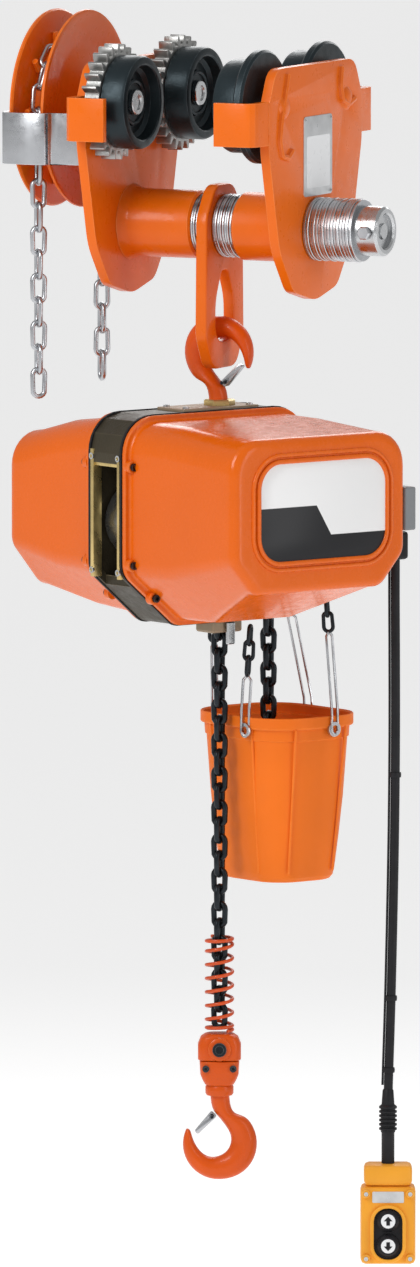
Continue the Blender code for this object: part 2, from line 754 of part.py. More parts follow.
def latch(name, bowl_r, outer_centre_z, up, parent):
    """Safety latch: a pressed strip from its pin at the neck to the hook's tip."""
    inner = Vector((-BOWL_SIDE * up, outer_centre_z + BOWL_RISE * up))
    pivot = inner + Vector((-0.002, bowl_r + 0.007)) * up
    tip = inner + Matrix.Rotation(math.radians(LATCH_ANGLE), 2) @ Vector((bowl_r + 0.001, 0)) * up
    along = (tip - pivot).normalized()
    across = Vector((along.y, -along.x)) * up
    wide = 0.0045
    corners = [pivot - along * 0.004 - across * wide, tip - across * wide * 0.6,
               tip + across * wide * 0.6, pivot - along * 0.004 + across * wide]
    outline = rounded([(corner.x, corner.y, 0.002) for corner in corners], 2)
    half = 0.005
    return plate(name, [outline], -half, half, parent, FACING_BACK, "zinc_plate"), pivot


# ---------------------------------------------------------------- hoist body
def section(half_w, top, side_z, low_w, low_z, radius, middle=BODY_MID_W):
    """One closed outline of the hoist's body: flat top, upright sides and a chamfered underside."""
    half = [(low_w, low_z, radius[0]), (half_w, side_z, radius[1]), (half_w, top, radius[2])]
    return [(middle + w, BODY_MID_Z + z) for w, z in rounded(mirrored(half), 3)]


def body_outline(inset):
    """The body's outline, moved in by inset all round."""
    slope = math.atan2(CHAMFER_Z + BODY_HALF_H, BODY_HALF_W - CHAMFER_W)
    low_w = CHAMFER_W - inset * math.tan(slope / 2)
    side_z = CHAMFER_Z + inset * math.tan((math.pi / 2 - slope) / 2)
    return section(BODY_HALF_W - inset, BODY_HALF_H - inset, side_z, low_w,
                   -BODY_HALF_H + inset, (0.022, 0.028, max(0.045 - inset, 0.01)))


def cover(name, sign, start, sections):
    """Open shell: a flange, a step in to the body, then the given sections to a closed end."""
    rings = [(start, body_outline(0)), (start + sign * COVER_FLANGE, body_outline(0)),
             (start + sign * (COVER_FLANGE + 0.001), body_outline(COVER_STEP))] + sections
    points = [[(u, w, z) for w, z in outline] for u, outline in rings]
    made = loft(name, points, hoist, Matrix(), "cover_paint", close_start=False)
    shell = made.modifiers.new("wall", "SOLIDIFY")
    shell.thickness = COVER_WALL
    shell.offset = -1
    shell.use_even_offset = True
    return made


def covers():
    start = FRAME_HALF + GAP
    nose = FRONT_END - 0.016
    cover("front_cover", 1, start, [
        (0.110, section(0.130, 0.119, -0.056, 0.062, -0.118, (0.022, 0.028, 0.038))),
        (nose, section(0.131, 0.112, -0.034, 0.096, -0.074, (0.022, 0.024, 0.040))),
        (FRONT_END - 0.005, section(0.127, 0.108, -0.030, 0.092, -0.069, (0.022, 0.024, 0.040))),
        (FRONT_END, section(0.118, 0.099, -0.026, 0.086, -0.060, (0.020, 0.022, 0.036))),
    ])
    tail = REAR_END + 0.016
    cover("rear_cover", -1, -start, [
        (-0.110, section(0.131, 0.112, -0.056, 0.066, -0.113, (0.022, 0.028, 0.040))),
        (tail, section(0.131, 0.094, -0.042, 0.088, -0.094, (0.022, 0.026, 0.040))),
        (REAR_END + 0.005, section(0.126, 0.088, -0.038, 0.084, -0.088, (0.022, 0.026, 0.038))),
        (REAR_END, section(0.114, 0.076, -0.032, 0.074, -0.077, (0.020, 0.022, 0.034))),
    ])


def body_frame():
    """Centre casting: two end walls and a rim, open at the near side, bored for chain and hook."""
    made = plate("frame", [body_outline(0)], -FRAME_HALF, FRAME_HALF, hoist, FACING_X, "frame_olive")
    inside = FRAME_HALF - FRAME_WALL
    hollow = plate("frame_hollow", [body_outline(0.009)], -inside, inside, hoist, FACING_X, None, True)
    side = BODY_MID_W - BODY_HALF_W
    window = box("frame_window", (-inside + 0.002, side - 0.01, BODY_MID_Z - 0.078),
                 (inside - 0.002, side + 0.02, BODY_MID_Z + 0.070), hoist, None, True)
    hook_hole = cylinder("hook_hole", SHANK_R + 0.002, BODY_MID_Z + 0.100, BODY_MID_Z + 0.14, hoist,
                         Matrix(), None, True, 20)
    reach = CHAIN_HALF + 0.0015
    chain_holes = box("chain_hole", (-reach, -reach, BODY_MID_Z - 0.14),
                      (reach, reach, BODY_MID_Z - 0.10), hoist, None, True)
    slack_hole = box("slack_hole", (-reach, SLACK_W - reach, BODY_MID_Z - 0.14),
                     (reach, SLACK_W + reach, BODY_MID_Z - 0.06), hoist, None, True)
    across = Matrix.Translation((0, SHEAVE_R, SHEAVE_Z)) @ ALONG_X
    shaft_hole = cylinder("sheave_hole", SHEAVE_SHAFT_R + WALL_GAP, -0.05, 0.05, hoist, across, None,
                          True, 20)
    motor_hole = cylinder("motor_hole", ROTOR_SHAFT_R + WALL_GAP, -0.05, 0.05, hoist,
                          Matrix.Translation((0, MOTOR_W, MOTOR_Z)) @ ALONG_X, None, True, 20)
    cut(made, window, hook_hole, chain_holes, slack_hole, shaft_hole, motor_hole, hollow)


def drive_unit():
    """Motor in the rear cover, gear case and control box in the front one, sheave between."""
    motor_at = Matrix.Translation((0, MOTOR_W, MOTOR_Z)) @ ALONG_X
    bore = ROTOR_R + 0.001
    turned("motor_stator", [
        (bore, MOTOR_HIGH), (MOTOR_R, MOTOR_HIGH), (MOTOR_R, MOTOR_LOW), (bore, MOTOR_LOW),
    ], hoist, motor_at, "motor_iron", 24, ring=True)
    tail = MOTOR_LOW - 0.012
    turned("motor_rotor", [
        (0, ROTOR_SHAFT_END), (ROTOR_SHAFT_R, ROTOR_SHAFT_END), (ROTOR_SHAFT_R, MOTOR_HIGH - 0.006),
        (ROTOR_R, MOTOR_HIGH - 0.008), (ROTOR_R, MOTOR_LOW + 0.008), (ROTOR_SHAFT_R, MOTOR_LOW + 0.006),
        (ROTOR_SHAFT_R, tail), (0, tail),
    ], hoist, motor_at, "bright_steel", 20)
    case = box("gear_case", GEAR_CASE_LOW, GEAR_CASE_HIGH, hoist, "motor_iron")
    round_edges(case, 0.012, 2)
    box("control_box", CONTROL_LOW, CONTROL_HIGH, hoist, "control_plastic", bevel=0.004)
    groove = CHAIN_HALF + 0.0012
    sheave_at = Matrix.Translation((0, SHEAVE_R, SHEAVE_Z)) @ ALONG_X
    groove_r = SHEAVE_R - CHAIN_HALF - 0.001
    rim_r = SHEAVE_R + 0.004
    turned("load_sheave", [
        (0, SHEAVE_SHAFT_END), (SHEAVE_SHAFT_R, SHEAVE_SHAFT_END), (SHEAVE_SHAFT_R, groove + 0.008),
        (rim_r - 0.008, groove + 0.007), (rim_r, groove + 0.005), (rim_r, groove),
        (groove_r, groove), (groove_r, -groove), (rim_r, -groove), (rim_r, -groove - 0.005),
        (rim_r - 0.008, -groove - 0.007), (SHEAVE_SHAFT_R, -groove - 0.008),
        (SHEAVE_SHAFT_R, -FRAME_HALF), (0, -FRAME_HALF),
    ], hoist, sheave_at, "bright_steel", 20)
    yoke = box("hook_yoke", (-0.018, -0.024, -0.262), (0.018, 0.024, -0.238), hoist, "black_steel",
               bevel=0.003)
    cut(yoke, cylinder("yoke_bore", SHANK_R + WALL_GAP, -0.30, -0.20, hoist, Matrix(), None, True, 20))


def underside():
    """What hangs from the body's underside: chain guide and limit lever."""
    top = BODY_MID_Z - BODY_HALF_H - GAP
    reach = CHAIN_HALF + 0.002
    guide = box("chain_outlet_guide", (-0.017, -0.024, top - 0.016), (0.017, 0.022, top), hoist,
                "black_steel", bevel=0.003)
    cut(guide, box("guide_hole", (-reach, -reach, top - 0.03), (reach, reach, top + 0.01), hoist,
                   None, True))
    box("limit_lever", (0.0185, -0.006, top - 0.030), (0.024, 0.006, top - 0.002), hoist,
        "bright_steel", bevel=0.002)


# ---------------------------------------------------------------- load chain, spring and hook block
def cross_outline(half, wire_r):
    """A plus sign: the outer form of links that stand crosswise to each other."""
    return [
        (half, -wire_r), (half, wire_r), (wire_r, wire_r), (wire_r, half), (-wire_r, half),
        (-wire_r, wire_r), (-half, wire_r), (-half, -wire_r), (-wire_r, -wire_r),
        (-wire_r, -half), (wire_r, -half), (wire_r, -wire_r),
    ]


def load_line():
    """Load chain, limit spring and the hook block in its two halves."""
    outline = cross_outline(CHAIN_HALF, CHAIN_WIRE / 2)
    plate("load_chain", [outline], BLOCK_TOP + GAP, LOAD_CHAIN_TOP, hoist, Matrix(), "black_steel")
    plate("slack_chain", [outline], SLACK_END, LOAD_CHAIN_TOP, hoist,
          Matrix.Translation((0, SLACK_W, 0)), "black_steel")
    per_turn = 8
    count = round(SPRING_TURNS * per_turn)
    end_turns = 1.2
    points = []
    for i in range(count + 1):
        turn = i / per_turn
        close = SPRING_WIRE * 1.15
        free = SPRING_LONG - SPRING_WIRE - 2 * end_turns * close
        inner = min(max(turn - end_turns, 0), SPRING_TURNS - 2 * end_turns)
        height = min(turn, end_turns) * close + inner * free / (SPRING_TURNS - 2 * end_turns)
        height += max(turn - (SPRING_TURNS - end_turns), 0) * close
        angle = 2 * math.pi * turn
        points.append((SPRING_R * math.cos(angle), SPRING_R * math.sin(angle),
                       SPRING_END + SPRING_WIRE / 2 + height))
    wire("limit_spring", points, SPRING_WIRE / 2, hoist, "spring_paint", 0)
    seam = BLOCK_TOP - BLOCK_LONG * 0.52
    half_w, half_d = BLOCK_WIDE / 2, BLOCK_DEEP / 2
    pin_z = BLOCK_TOP - 0.018
    upper = box("block_upper", (-half_w, -half_d, seam + GAP), (half_w, half_d, BLOCK_TOP), hook_line,
                "hook_paint", bevel=0.007)
    pin_at = Matrix.Translation((0, 0, pin_z)) @ ALONG_Y
    cut(upper, cylinder("pin_bore", 0.0065, -0.05, 0.05, hook_line, pin_at, None, True, 16))
    lower = box("block_lower", (-half_w + 0.003, -half_d, BLOCK_END), (half_w - 0.003, half_d, seam),
                hook_line, "hook_paint", bevel=0.008)
    cut(lower, cylinder("shank_bore", SHANK_R + WALL_GAP, BLOCK_END - 0.01, BLOCK_END + 0.022,
                        hook_line, Matrix(), None, True, 20))
    pin = cylinder("block_pin", 0.006, -half_d - 0.003, half_d + 0.003, hook_line, pin_at,
                   "black_steel", sides=16)
    join(pin, cylinder("block_pin_head", 0.009, -half_d - 0.006, -half_d - GAP, hook_line, pin_at,
                       None, True, 12))


def hooks():
    top_z = TOP_HOOK_TOP - HOOK_OUT_R
    shank_end = -0.268
    top = hook("top_hook", TOP_BOWL_R, top_z, -1, shank_end, trolley, "hook_paint")
    top_latch, pivot = latch("top_latch", TOP_BOWL_R, top_z, -1, trolley)
    latch_pin("top", top, top_latch, pivot, trolley)
    low_z = LOW_HOOK_END + HOOK_OUT_R
    low = hook("bottom_hook", LOW_BOWL_R, low_z, 1, BLOCK_END + 0.020, hook_line, "hook_paint")
    low_latch, pivot = latch("bottom_latch", LOW_BOWL_R, low_z, 1, hook_line)
    latch_pin("bottom", low, low_latch, pivot, hook_line)


def latch_pin(which, hook_body, strip, pivot, parent):
    """Cross pin through the neck and the latch, and the notch that the latch folds into."""
    at = Matrix.Translation((pivot.x, 0, pivot.y)) @ ALONG_Y
    bore = cylinder(f"{which}_latch_bore", 0.0021 + GAP, -0.05, 0.05, parent, at, None, True, 12)
    notch = cylinder(f"{which}_latch_notch", 0.009, -0.0056, 0.0056, parent, at, None, True, 16)
    cut(hook_body, bore, notch)
    cut(strip, bore)
    cylinder(f"{which}_latch_pin", 0.0021, -0.013, 0.013, parent, at, "black_steel", sides=12)


# ---------------------------------------------------------------- chain bucket
def bucket_ring(share, z, inset=0.0):
    half_u, half_w = BUCKET_U / 2 * share - inset, BUCKET_W / 2 * share - inset
    corner = 0.048 * share - inset
    corners = [(half_u, -half_w, corner), (half_u, half_w, corner)]
    return [(u, BUCKET_MID_W + w, z) for u, w in rounded(mirrored(corners), 4)]


def bucket():
    """Moulded tub with a rim band, and the four wires that it hangs on."""
    rim, band = 0.004, 0.012
    rings = [
        bucket_ring(1, BUCKET_TOP, -rim), bucket_ring(1, BUCKET_TOP - band, -rim),
        bucket_ring(1, BUCKET_TOP - band - 0.001), bucket_ring(0.93, BUCKET_TOP - 0.056),
        bucket_ring(BUCKET_TAPER + 0.02, BUCKET_BOTTOM + 0.012),
        bucket_ring(BUCKET_TAPER - 0.06, BUCKET_BOTTOM),
    ]
    tub = loft("chain_bucket", rings, hoist, Matrix(), "bucket_plastic", close_start=False)
    shell = tub.modifiers.new("wall", "SOLIDIFY")
    shell.thickness = BUCKET_WALL
    shell.offset = -1
    shell.use_even_offset = True
    out_u, out_w = BUCKET_U / 2 + HANGER_OUT, BUCKET_W / 2 + HANGER_OUT
    rim_points = {
        "near": (0.035, BUCKET_MID_W - out_w), "right": (out_u, 0.105),
        "far": (-0.035, BUCKET_MID_W + out_w), "left": (-out_u, 0.064),
    }
    for name, (u, w, top) in HANGER_TOPS.items():
        end_u, end_w = rim_points[name]
        wire(f"bucket_hanger_{name}", [(u, w, top), (end_u, end_w, BUCKET_TOP + 0.006),
                                       (end_u, end_w, BUCKET_TOP - 0.020)],
             HANGER_R, hoist, "zinc_plate", 1)


# ---------------------------------------------------------------- pendant and its cable
def smooth_route(route, per_span):
    """Points of a Catmull-Rom curve through the route's own points."""
    points = [Vector(point) for point in route]
    padded = [2 * points[0] - points[1], *points, 2 * points[-1] - points[-2]]
    found = []
    for a, b, c, d in zip(padded, padded[1:], padded[2:], padded[3:]):
        for i in range(per_span):
            t = i / per_span
            found.append(0.5 * (2 * b + (c - a) * t + (2 * a - 5 * b + 4 * c - d) * t**2
                                + (3 * b - a - 3 * c + d) * t**3))
    return found + [points[-1]]


def pendant():
    """Handset on its cable: case, cap, two buttons and the rubber boot that the cable enters."""
    side = BODY_MID_W + BODY_HALF_W
    box("cable_gland", (GLAND_U - 0.013, side - 0.0065, GLAND_LOW),
        (GLAND_U + 0.013, GLAND_W + 0.011, GLAND_LOW + 0.034), hoist, "black_rubber", bevel=0.004)
    wire("pendant_cable", smooth_route(CABLE_ROUTE, 2), CABLE_R, trolley, "black_rubber", 2)
    end = CABLE_ROUTE[-1]
    handset = axis_empty("handset_axis", (end[0], end[1], 0), HOOK_YAW, trolley)
    boot_top = end[2] - GAP - 0.0002
    turned("cable_boot", [
        (0, boot_top), (0.008, boot_top), (0.0105, boot_top - 0.008), (0.0105, boot_top - 0.026),
        (0.0075, boot_top - 0.030), (0.0075, CAP_TOP + GAP), (0, CAP_TOP + GAP),
    ], handset, Matrix(), "black_rubber", 16)
    half_w, half_d = PENDANT_WIDE / 2, PENDANT_DEEP / 2
    box("pendant_cap", (-half_w + 0.004, -half_d + 0.002, CASE_TOP + GAP),
        (half_w - 0.004, half_d - 0.002, CAP_TOP), handset, "pendant_plastic", bevel=0.006)
    case = box("pendant_case", (-half_w, -half_d, PENDANT_END), (half_w, half_d, CASE_TOP), handset,
               "pendant_plastic", bevel=0.006)
    well_floor = -half_d + BUTTON_WELL
    base = well_floor - BUTTON_TRAVEL - GAP
    for name, height in BUTTONS.items():
        at = Matrix.Translation((0, 0, height)) @ ALONG_Y
        well = cylinder(f"{name}_well", BUTTON_R + WALL_GAP, -half_d - 0.01, well_floor, handset, at,
                        None, True, 24)
        cut(case, well)
        turned(name, [
            (0, base), (BUTTON_R, base), (BUTTON_R, -half_d - BUTTON_RISE + 0.003),
            (BUTTON_R - 0.003, -half_d - BUTTON_RISE), (0, -half_d - BUTTON_RISE),
        ], handset, at, "black_rubber", 24)


trolley_frame()
drive_train()
hand_chain()
chain_guide()
suspender()
hooks()
covers()
body_frame()
drive_unit()
underside()
load_line()
bucket()
pendant()
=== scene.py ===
# %% [markdown]
# An electric chain hoist under a hand-geared beam trolley. The solid model comes in first and stays where
# it is. Everything below gives it finer shapes and real finishes, one step at a time.
# %% Load the solid model
import json
import math

import bmesh
import bpy
from mathutils import Matrix, Vector


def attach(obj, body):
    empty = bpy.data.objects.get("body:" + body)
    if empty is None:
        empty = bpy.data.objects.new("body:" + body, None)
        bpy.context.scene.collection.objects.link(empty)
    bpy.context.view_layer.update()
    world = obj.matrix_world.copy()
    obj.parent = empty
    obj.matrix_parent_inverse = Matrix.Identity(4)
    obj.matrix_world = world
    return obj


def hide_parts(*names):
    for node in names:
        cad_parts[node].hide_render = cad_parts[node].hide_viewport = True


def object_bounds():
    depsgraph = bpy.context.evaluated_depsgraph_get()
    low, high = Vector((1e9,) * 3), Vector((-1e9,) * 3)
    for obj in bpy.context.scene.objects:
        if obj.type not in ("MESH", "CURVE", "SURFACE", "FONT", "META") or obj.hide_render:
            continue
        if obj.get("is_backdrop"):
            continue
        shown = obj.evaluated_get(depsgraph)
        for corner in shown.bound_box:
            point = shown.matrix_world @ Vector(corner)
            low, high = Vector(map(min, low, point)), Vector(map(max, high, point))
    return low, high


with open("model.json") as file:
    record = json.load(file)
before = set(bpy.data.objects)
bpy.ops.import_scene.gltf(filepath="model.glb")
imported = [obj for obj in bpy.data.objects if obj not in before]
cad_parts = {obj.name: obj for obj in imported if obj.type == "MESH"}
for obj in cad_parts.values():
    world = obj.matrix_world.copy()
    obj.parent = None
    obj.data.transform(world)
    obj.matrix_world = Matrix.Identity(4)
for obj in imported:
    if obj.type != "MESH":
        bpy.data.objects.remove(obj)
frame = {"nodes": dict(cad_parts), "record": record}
solid_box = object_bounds()
print("solid model:", [round(v, 4) for v in (*solid_box[0], *solid_box[1])])

# %% [markdown]
# The trolley, the hoist body and the hook each have their own directions. The hoist hangs turned about its
# hook, so its pieces are modelled square and then turned by one matrix, which is easier to read than
# turned numbers. Heights are measured from the axis of the suspension shaft.
# %% Working directions
SHAFT_DROP = 0.095
YAW = math.radians(26)
TROLLEY = Matrix.Translation((0, 0, -SHAFT_DROP))
HOIST = TROLLEY @ Matrix.Rotation(-YAW, 4, "Z")
HOOK = TROLLEY @ Matrix.Rotation(YAW, 4, "Z")
ALONG_X = Matrix.Rotation(math.pi / 2, 4, "Y")
ALONG_Y = Matrix.Rotation(-math.pi / 2, 4, "X")
FACING_X = Matrix(((0, 0, 1, 0), (1, 0, 0, 0), (0, 1, 0, 0), (0, 0, 0, 1)))

# %% [markdown]
# Small helpers come next. A finished piece keeps its object at the origin and its place in its mesh, so
# that a pattern measured in object coordinates stays put on it.
# %% Helpers for pieces
FINISHES, USUAL_SLOT = {}, {}


def add_object(name, data):
    added = bpy.data.objects.new(name, data)
    bpy.context.scene.collection.objects.link(added)
    return added


def evaluated_mesh(holder):
    """The object's mesh once its modifiers or its curve settings are worked out."""
    bpy.context.view_layer.update()
    graph = bpy.context.evaluated_depsgraph_get()
    return bpy.data.meshes.new_from_object(holder.evaluated_get(graph))


def finish_piece(name, mesh, place, paint, body, replaces=(), smooth=35, modifiers=()):
    """Turns a mesh into a piece that rides on a body: placed, shaded and painted."""
    mesh.transform(place)
    mesh.name = name
    piece = add_object(name, mesh)
    for kind, settings in modifiers:
        modifier = piece.modifiers.new(kind.lower(), kind)
        for key, value in settings.items():
            setattr(modifier, key, value)
    if modifiers:
        made = evaluated_mesh(piece)
        piece.modifiers.clear()
        piece.data = made
    piece.data.materials.clear()
    piece.data.materials.append(FINISHES[paint])
    piece.data.shade_smooth()
    piece.data.set_sharp_from_angle(angle=math.radians(smooth))
    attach(piece, body)
    if replaces:
        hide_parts(*replaces)


def to_mesh(bm, outward=True):
    if outward:
        bmesh.ops.remove_doubles(bm, verts=bm.verts, dist=1e-6)
        bmesh.ops.recalc_face_normals(bm, faces=bm.faces)
    mesh = bpy.data.meshes.new("piece")
    bm.to_mesh(mesh)
    bm.free()
    return mesh


def joined(*meshes, outward=False):
    bm = bmesh.new()
    for mesh in meshes:
        bm.from_mesh(mesh)
        bpy.data.meshes.remove(mesh)
    return to_mesh(bm, outward)


def moved(mesh, matrix):
    mesh.transform(matrix)
    return mesh


def lathe(profile, steps=64, closed=False):
    """A (radius, height) profile swept round the local Z axis. A closed one makes a ring."""
    bm = bmesh.new()
    rows = []
    for i in range(steps):
        angle = 2 * math.pi * i / steps
        rows.append([bm.verts.new((r * math.cos(angle), r * math.sin(angle), z)) for r, z in profile])
    spans = list(range(len(profile) - 1)) + ([-1] if closed else [])
    for i in range(steps):
        a, b = rows[i], rows[(i + 1) % steps]
        for k in spans:
            bm.faces.new((a[k], b[k], b[k + 1], a[k + 1]))
    bmesh.ops.remove_doubles(bm, verts=bm.verts, dist=1e-6)
    bmesh.ops.dissolve_degenerate(bm, dist=1e-7, edges=bm.edges)
    return to_mesh(bm)


def rounded(corners, steps=8):
    """An outline through (x, y, radius) corners, each turned into an arc."""
    outline = []
    for i, (x, y, radius) in enumerate(corners):
        here = Vector((x, y))
        before = (Vector(corners[i - 1][:2]) - here).normalized()
        after = (Vector(corners[(i + 1) % len(corners)][:2]) - here).normalized()
        half = before.angle(after) / 2
        centre = here + (before + after).normalized() * radius / math.sin(half)
        first = here + before * radius / math.tan(half) - centre
        last = here + after * radius / math.tan(half) - centre
        turn = math.atan2(first.cross(last), first.dot(last))
        for step in range(steps + 1):
            outline.append((centre + Matrix.Rotation(turn * step / steps, 2) @ first)[:])
    return outline


def mirrored(half):
    return half + [(-x, y, radius) for x, y, radius in reversed(half) if x > 0]


def loft(rings, close_start=True, close_end=True):
    """Skin over rings of equal length."""
    bm = bmesh.new()
    loops = [[bm.verts.new(point) for point in ring] for ring in rings]
    for first, second in zip(loops, loops[1:]):
        for i in range(len(first)):
            j = (i + 1) % len(first)
            bm.faces.new((first[i], first[j], second[j], second[i]))
    if close_start:
        bm.faces.new(reversed(loops[0]))
    if close_end:
        bm.faces.new(loops[-1])
    bmesh.ops.recalc_face_normals(bm, faces=bm.faces)
    return to_mesh(bm, outward=False)


def slab(outline, low, high, hole=None):
    """A flat outline, and a hole of as many points, given thickness along the local Z axis."""
    rings = [[(x, y, z) for x, y in outline] for z in (low, high)]
    if hole is None:
        return loft(rings)
    rings += [[(x, y, z) for x, y in hole] for z in (high, low)]
    return loft(rings + rings[:1], close_start=False, close_end=False)


def block(low, high, bevel, segments=4):
    """A box with rounded edges."""
    low, high = Vector(low), Vector(high)
    bm = bmesh.new()
    bmesh.ops.create_cube(bm, size=1)
    bmesh.ops.scale(bm, vec=high - low, verts=bm.verts)
    bmesh.ops.translate(bm, vec=(low + high) / 2, verts=bm.verts)
    bmesh.ops.bevel(bm, geom=bm.edges[:], offset=bevel, segments=segments, profile=0.5, affect="EDGES")
    return to_mesh(bm)


def bevelled(width, segments=3, angle=30):
    return ("BEVEL", {"width": width, "segments": segments, "limit_method": "ANGLE",
                      "angle_limit": math.radians(angle), "harden_normals": False})


def wire_mesh(points, radius, sides=10, cyclic=False, smooth_line=False):
    """A round wire along the points."""
    curve = bpy.data.curves.new("wire", "CURVE")
    curve.dimensions = "3D"
    curve.bevel_depth = radius
    curve.bevel_resolution = max(0, sides // 4 - 1)
    curve.use_fill_caps = not cyclic
    spline = curve.splines.new("NURBS" if smooth_line else "POLY")
    if smooth_line:
        spline.order_u = 4
        spline.use_endpoint_u = not cyclic
        spline.resolution_u = 6
    spline.points.add(len(points) - 1)
    for point, at in zip(spline.points, points):
        point.co = (*at, 1)
    spline.use_cyclic_u = cyclic
    holder = add_object("wire", curve)
    mesh = evaluated_mesh(holder)
    bpy.data.objects.remove(holder)
    return joined(mesh, outward=True)


# %% [markdown]
# The camera stands far off with a long lens, so the tall hoist shows with almost no perspective. It looks
# slightly down and from the right of the rail. A long lens keeps upright chains upright.
# %% Camera
CAMERA_AZIMUTH = math.radians(26)
CAMERA_HEIGHT = math.radians(6)
CAMERA_DISTANCE = 20.0
CAMERA_REACH = 400
VIEW_TALL = 1.5204
AIM_LEFT, AIM_DOWN = 0.0114, 0.4902
back = Vector((math.sin(CAMERA_AZIMUTH) * math.cos(CAMERA_HEIGHT),
               -math.cos(CAMERA_AZIMUTH) * math.cos(CAMERA_HEIGHT), math.sin(CAMERA_HEIGHT)))
right = Vector((math.cos(CAMERA_AZIMUTH), math.sin(CAMERA_AZIMUTH), 0))
up = back.cross(right)
aim = Vector((0, 0, -SHAFT_DROP)) - right * AIM_LEFT - up * AIM_DOWN
camera = add_object("camera", bpy.data.cameras.new("camera"))
camera.data.lens = camera.data.sensor_width * CAMERA_DISTANCE / VIEW_TALL
camera.data.clip_end = CAMERA_REACH
camera.rotation_mode = "QUATERNION"
camera.location = aim + back * CAMERA_DISTANCE
camera.rotation_quaternion = (-back).to_track_quat("-Z", "Y")
bpy.context.scene.camera = camera
print("lens", round(camera.data.lens, 1), "mm")

# %% [markdown]
# Paint, steel and plastic share a few effects: a slow change of tone, the fine ripple of sprayed paint,
# and bright edges, which are partly wear and partly a painted highlight. Each is built once as a node group,
# so that every finish can use it with its own values.
# %% Shared effects


def wired(tree, kind, inputs=None, **settings):
    """A new node. Each of its inputs is given a value, or a socket to be linked from."""
    node = tree.nodes.new(kind)
    for key, value in settings.items():
        setattr(node, key, value)
    for key, value in (inputs or {}).items():
        if isinstance(value, bpy.types.NodeSocket):
            tree.links.new(value, node.inputs[key])
        else:
            node.inputs[key].default_value = value
    return node


def math_node(tree, operation, *values):
    return wired(tree, "ShaderNodeMath", dict(enumerate(values)), operation=operation).outputs[0]


def effect(name, inputs, outputs):
    """An empty node group with the named sockets."""
    tree = bpy.data.node_groups.new(name, "ShaderNodeTree")
    for label, kind, value in inputs:
        socket = tree.interface.new_socket(name=label, in_out="INPUT", socket_type="NodeSocket" + kind)
        socket.default_value = value
    for label, kind in outputs:
        tree.interface.new_socket(name=label, in_out="OUTPUT", socket_type="NodeSocket" + kind)
    return tree, tree.nodes.new("NodeGroupInput").outputs, tree.nodes.new("NodeGroupOutput").inputs


def noise(tree, scale, detail, stretch=None):
    """Noise on object coordinates. scale is a number or a socket, in waves to the metre."""
    source = tree.nodes.new("ShaderNodeTexCoord").outputs["Object"]
    if stretch:
        source = wired(tree, "ShaderNodeMapping", {"Scale": stretch, "Vector": source}).outputs["Vector"]
    found = wired(tree, "ShaderNodeTexNoise", {"Detail": detail, "Vector": source, "Scale": scale})
    return found.outputs["Fac"]


def spread(tree, value, low, high, to_low, to_high):
    """The value carried over from one range to another."""
    return wired(tree, "ShaderNodeMapRange",
                 dict(enumerate((value, low, high, to_low, to_high)))).outputs[0]


TONE, tone_in, tone_out = effect(
    "uneven_tone", [("Colour", "Color", (1, 1, 1, 1)), ("Depth", "Float", 0.1), ("Scale", "Float", 8)],
    [("Colour", "Color"), ("Wear", "Float")])
tone_offset = spread(TONE, noise(TONE, tone_in["Scale"], 4), 0.3, 0.7, -1, 1)
tone_shift = math_node(TONE, "MULTIPLY_ADD", tone_offset, tone_in["Depth"], 1)
tone_value = wired(TONE, "ShaderNodeHueSaturation", {"Value": tone_shift, "Color": tone_in["Colour"]})
TONE.links.new(tone_value.outputs["Color"], tone_out["Colour"])
TONE.links.new(noise(TONE, 90, 6), tone_out["Wear"])

# Lighter edges: partly wear, partly a painted highlight that stands in for light catching the rounded edges.
EDGES, edges_in, edges_out = effect("worn_and_highlit_edges", [("Reach", "Float", 0.002)], [("Mask", "Float")])
edge_bevel = wired(EDGES, "ShaderNodeBevel", {"Radius": edges_in["Reach"]}, samples=4)
edge_normal = EDGES.nodes.new("ShaderNodeNewGeometry")
edge_turn = wired(EDGES, "ShaderNodeVectorMath", {
    0: edge_bevel.outputs["Normal"], 1: edge_normal.outputs["Normal"]}, operation="DOT_PRODUCT")
EDGES.links.new(spread(EDGES, edge_turn.outputs["Value"], 0.995, 0.90, 0, 1), edges_out["Mask"])
print("shared effects:", TONE.name, EDGES.name)

# %% [markdown]
# A finish is one Principled shader with those effects in front of it. Values that are the same all over
# the surface sit on the shader's own sockets, and only what changes over the surface is linked. Each
# finish also has its usual material slot.
# %% Finishes
UNEVEN = 0.08
SPECULAR = 0.22
COAT_ROUGHNESS = 0.06


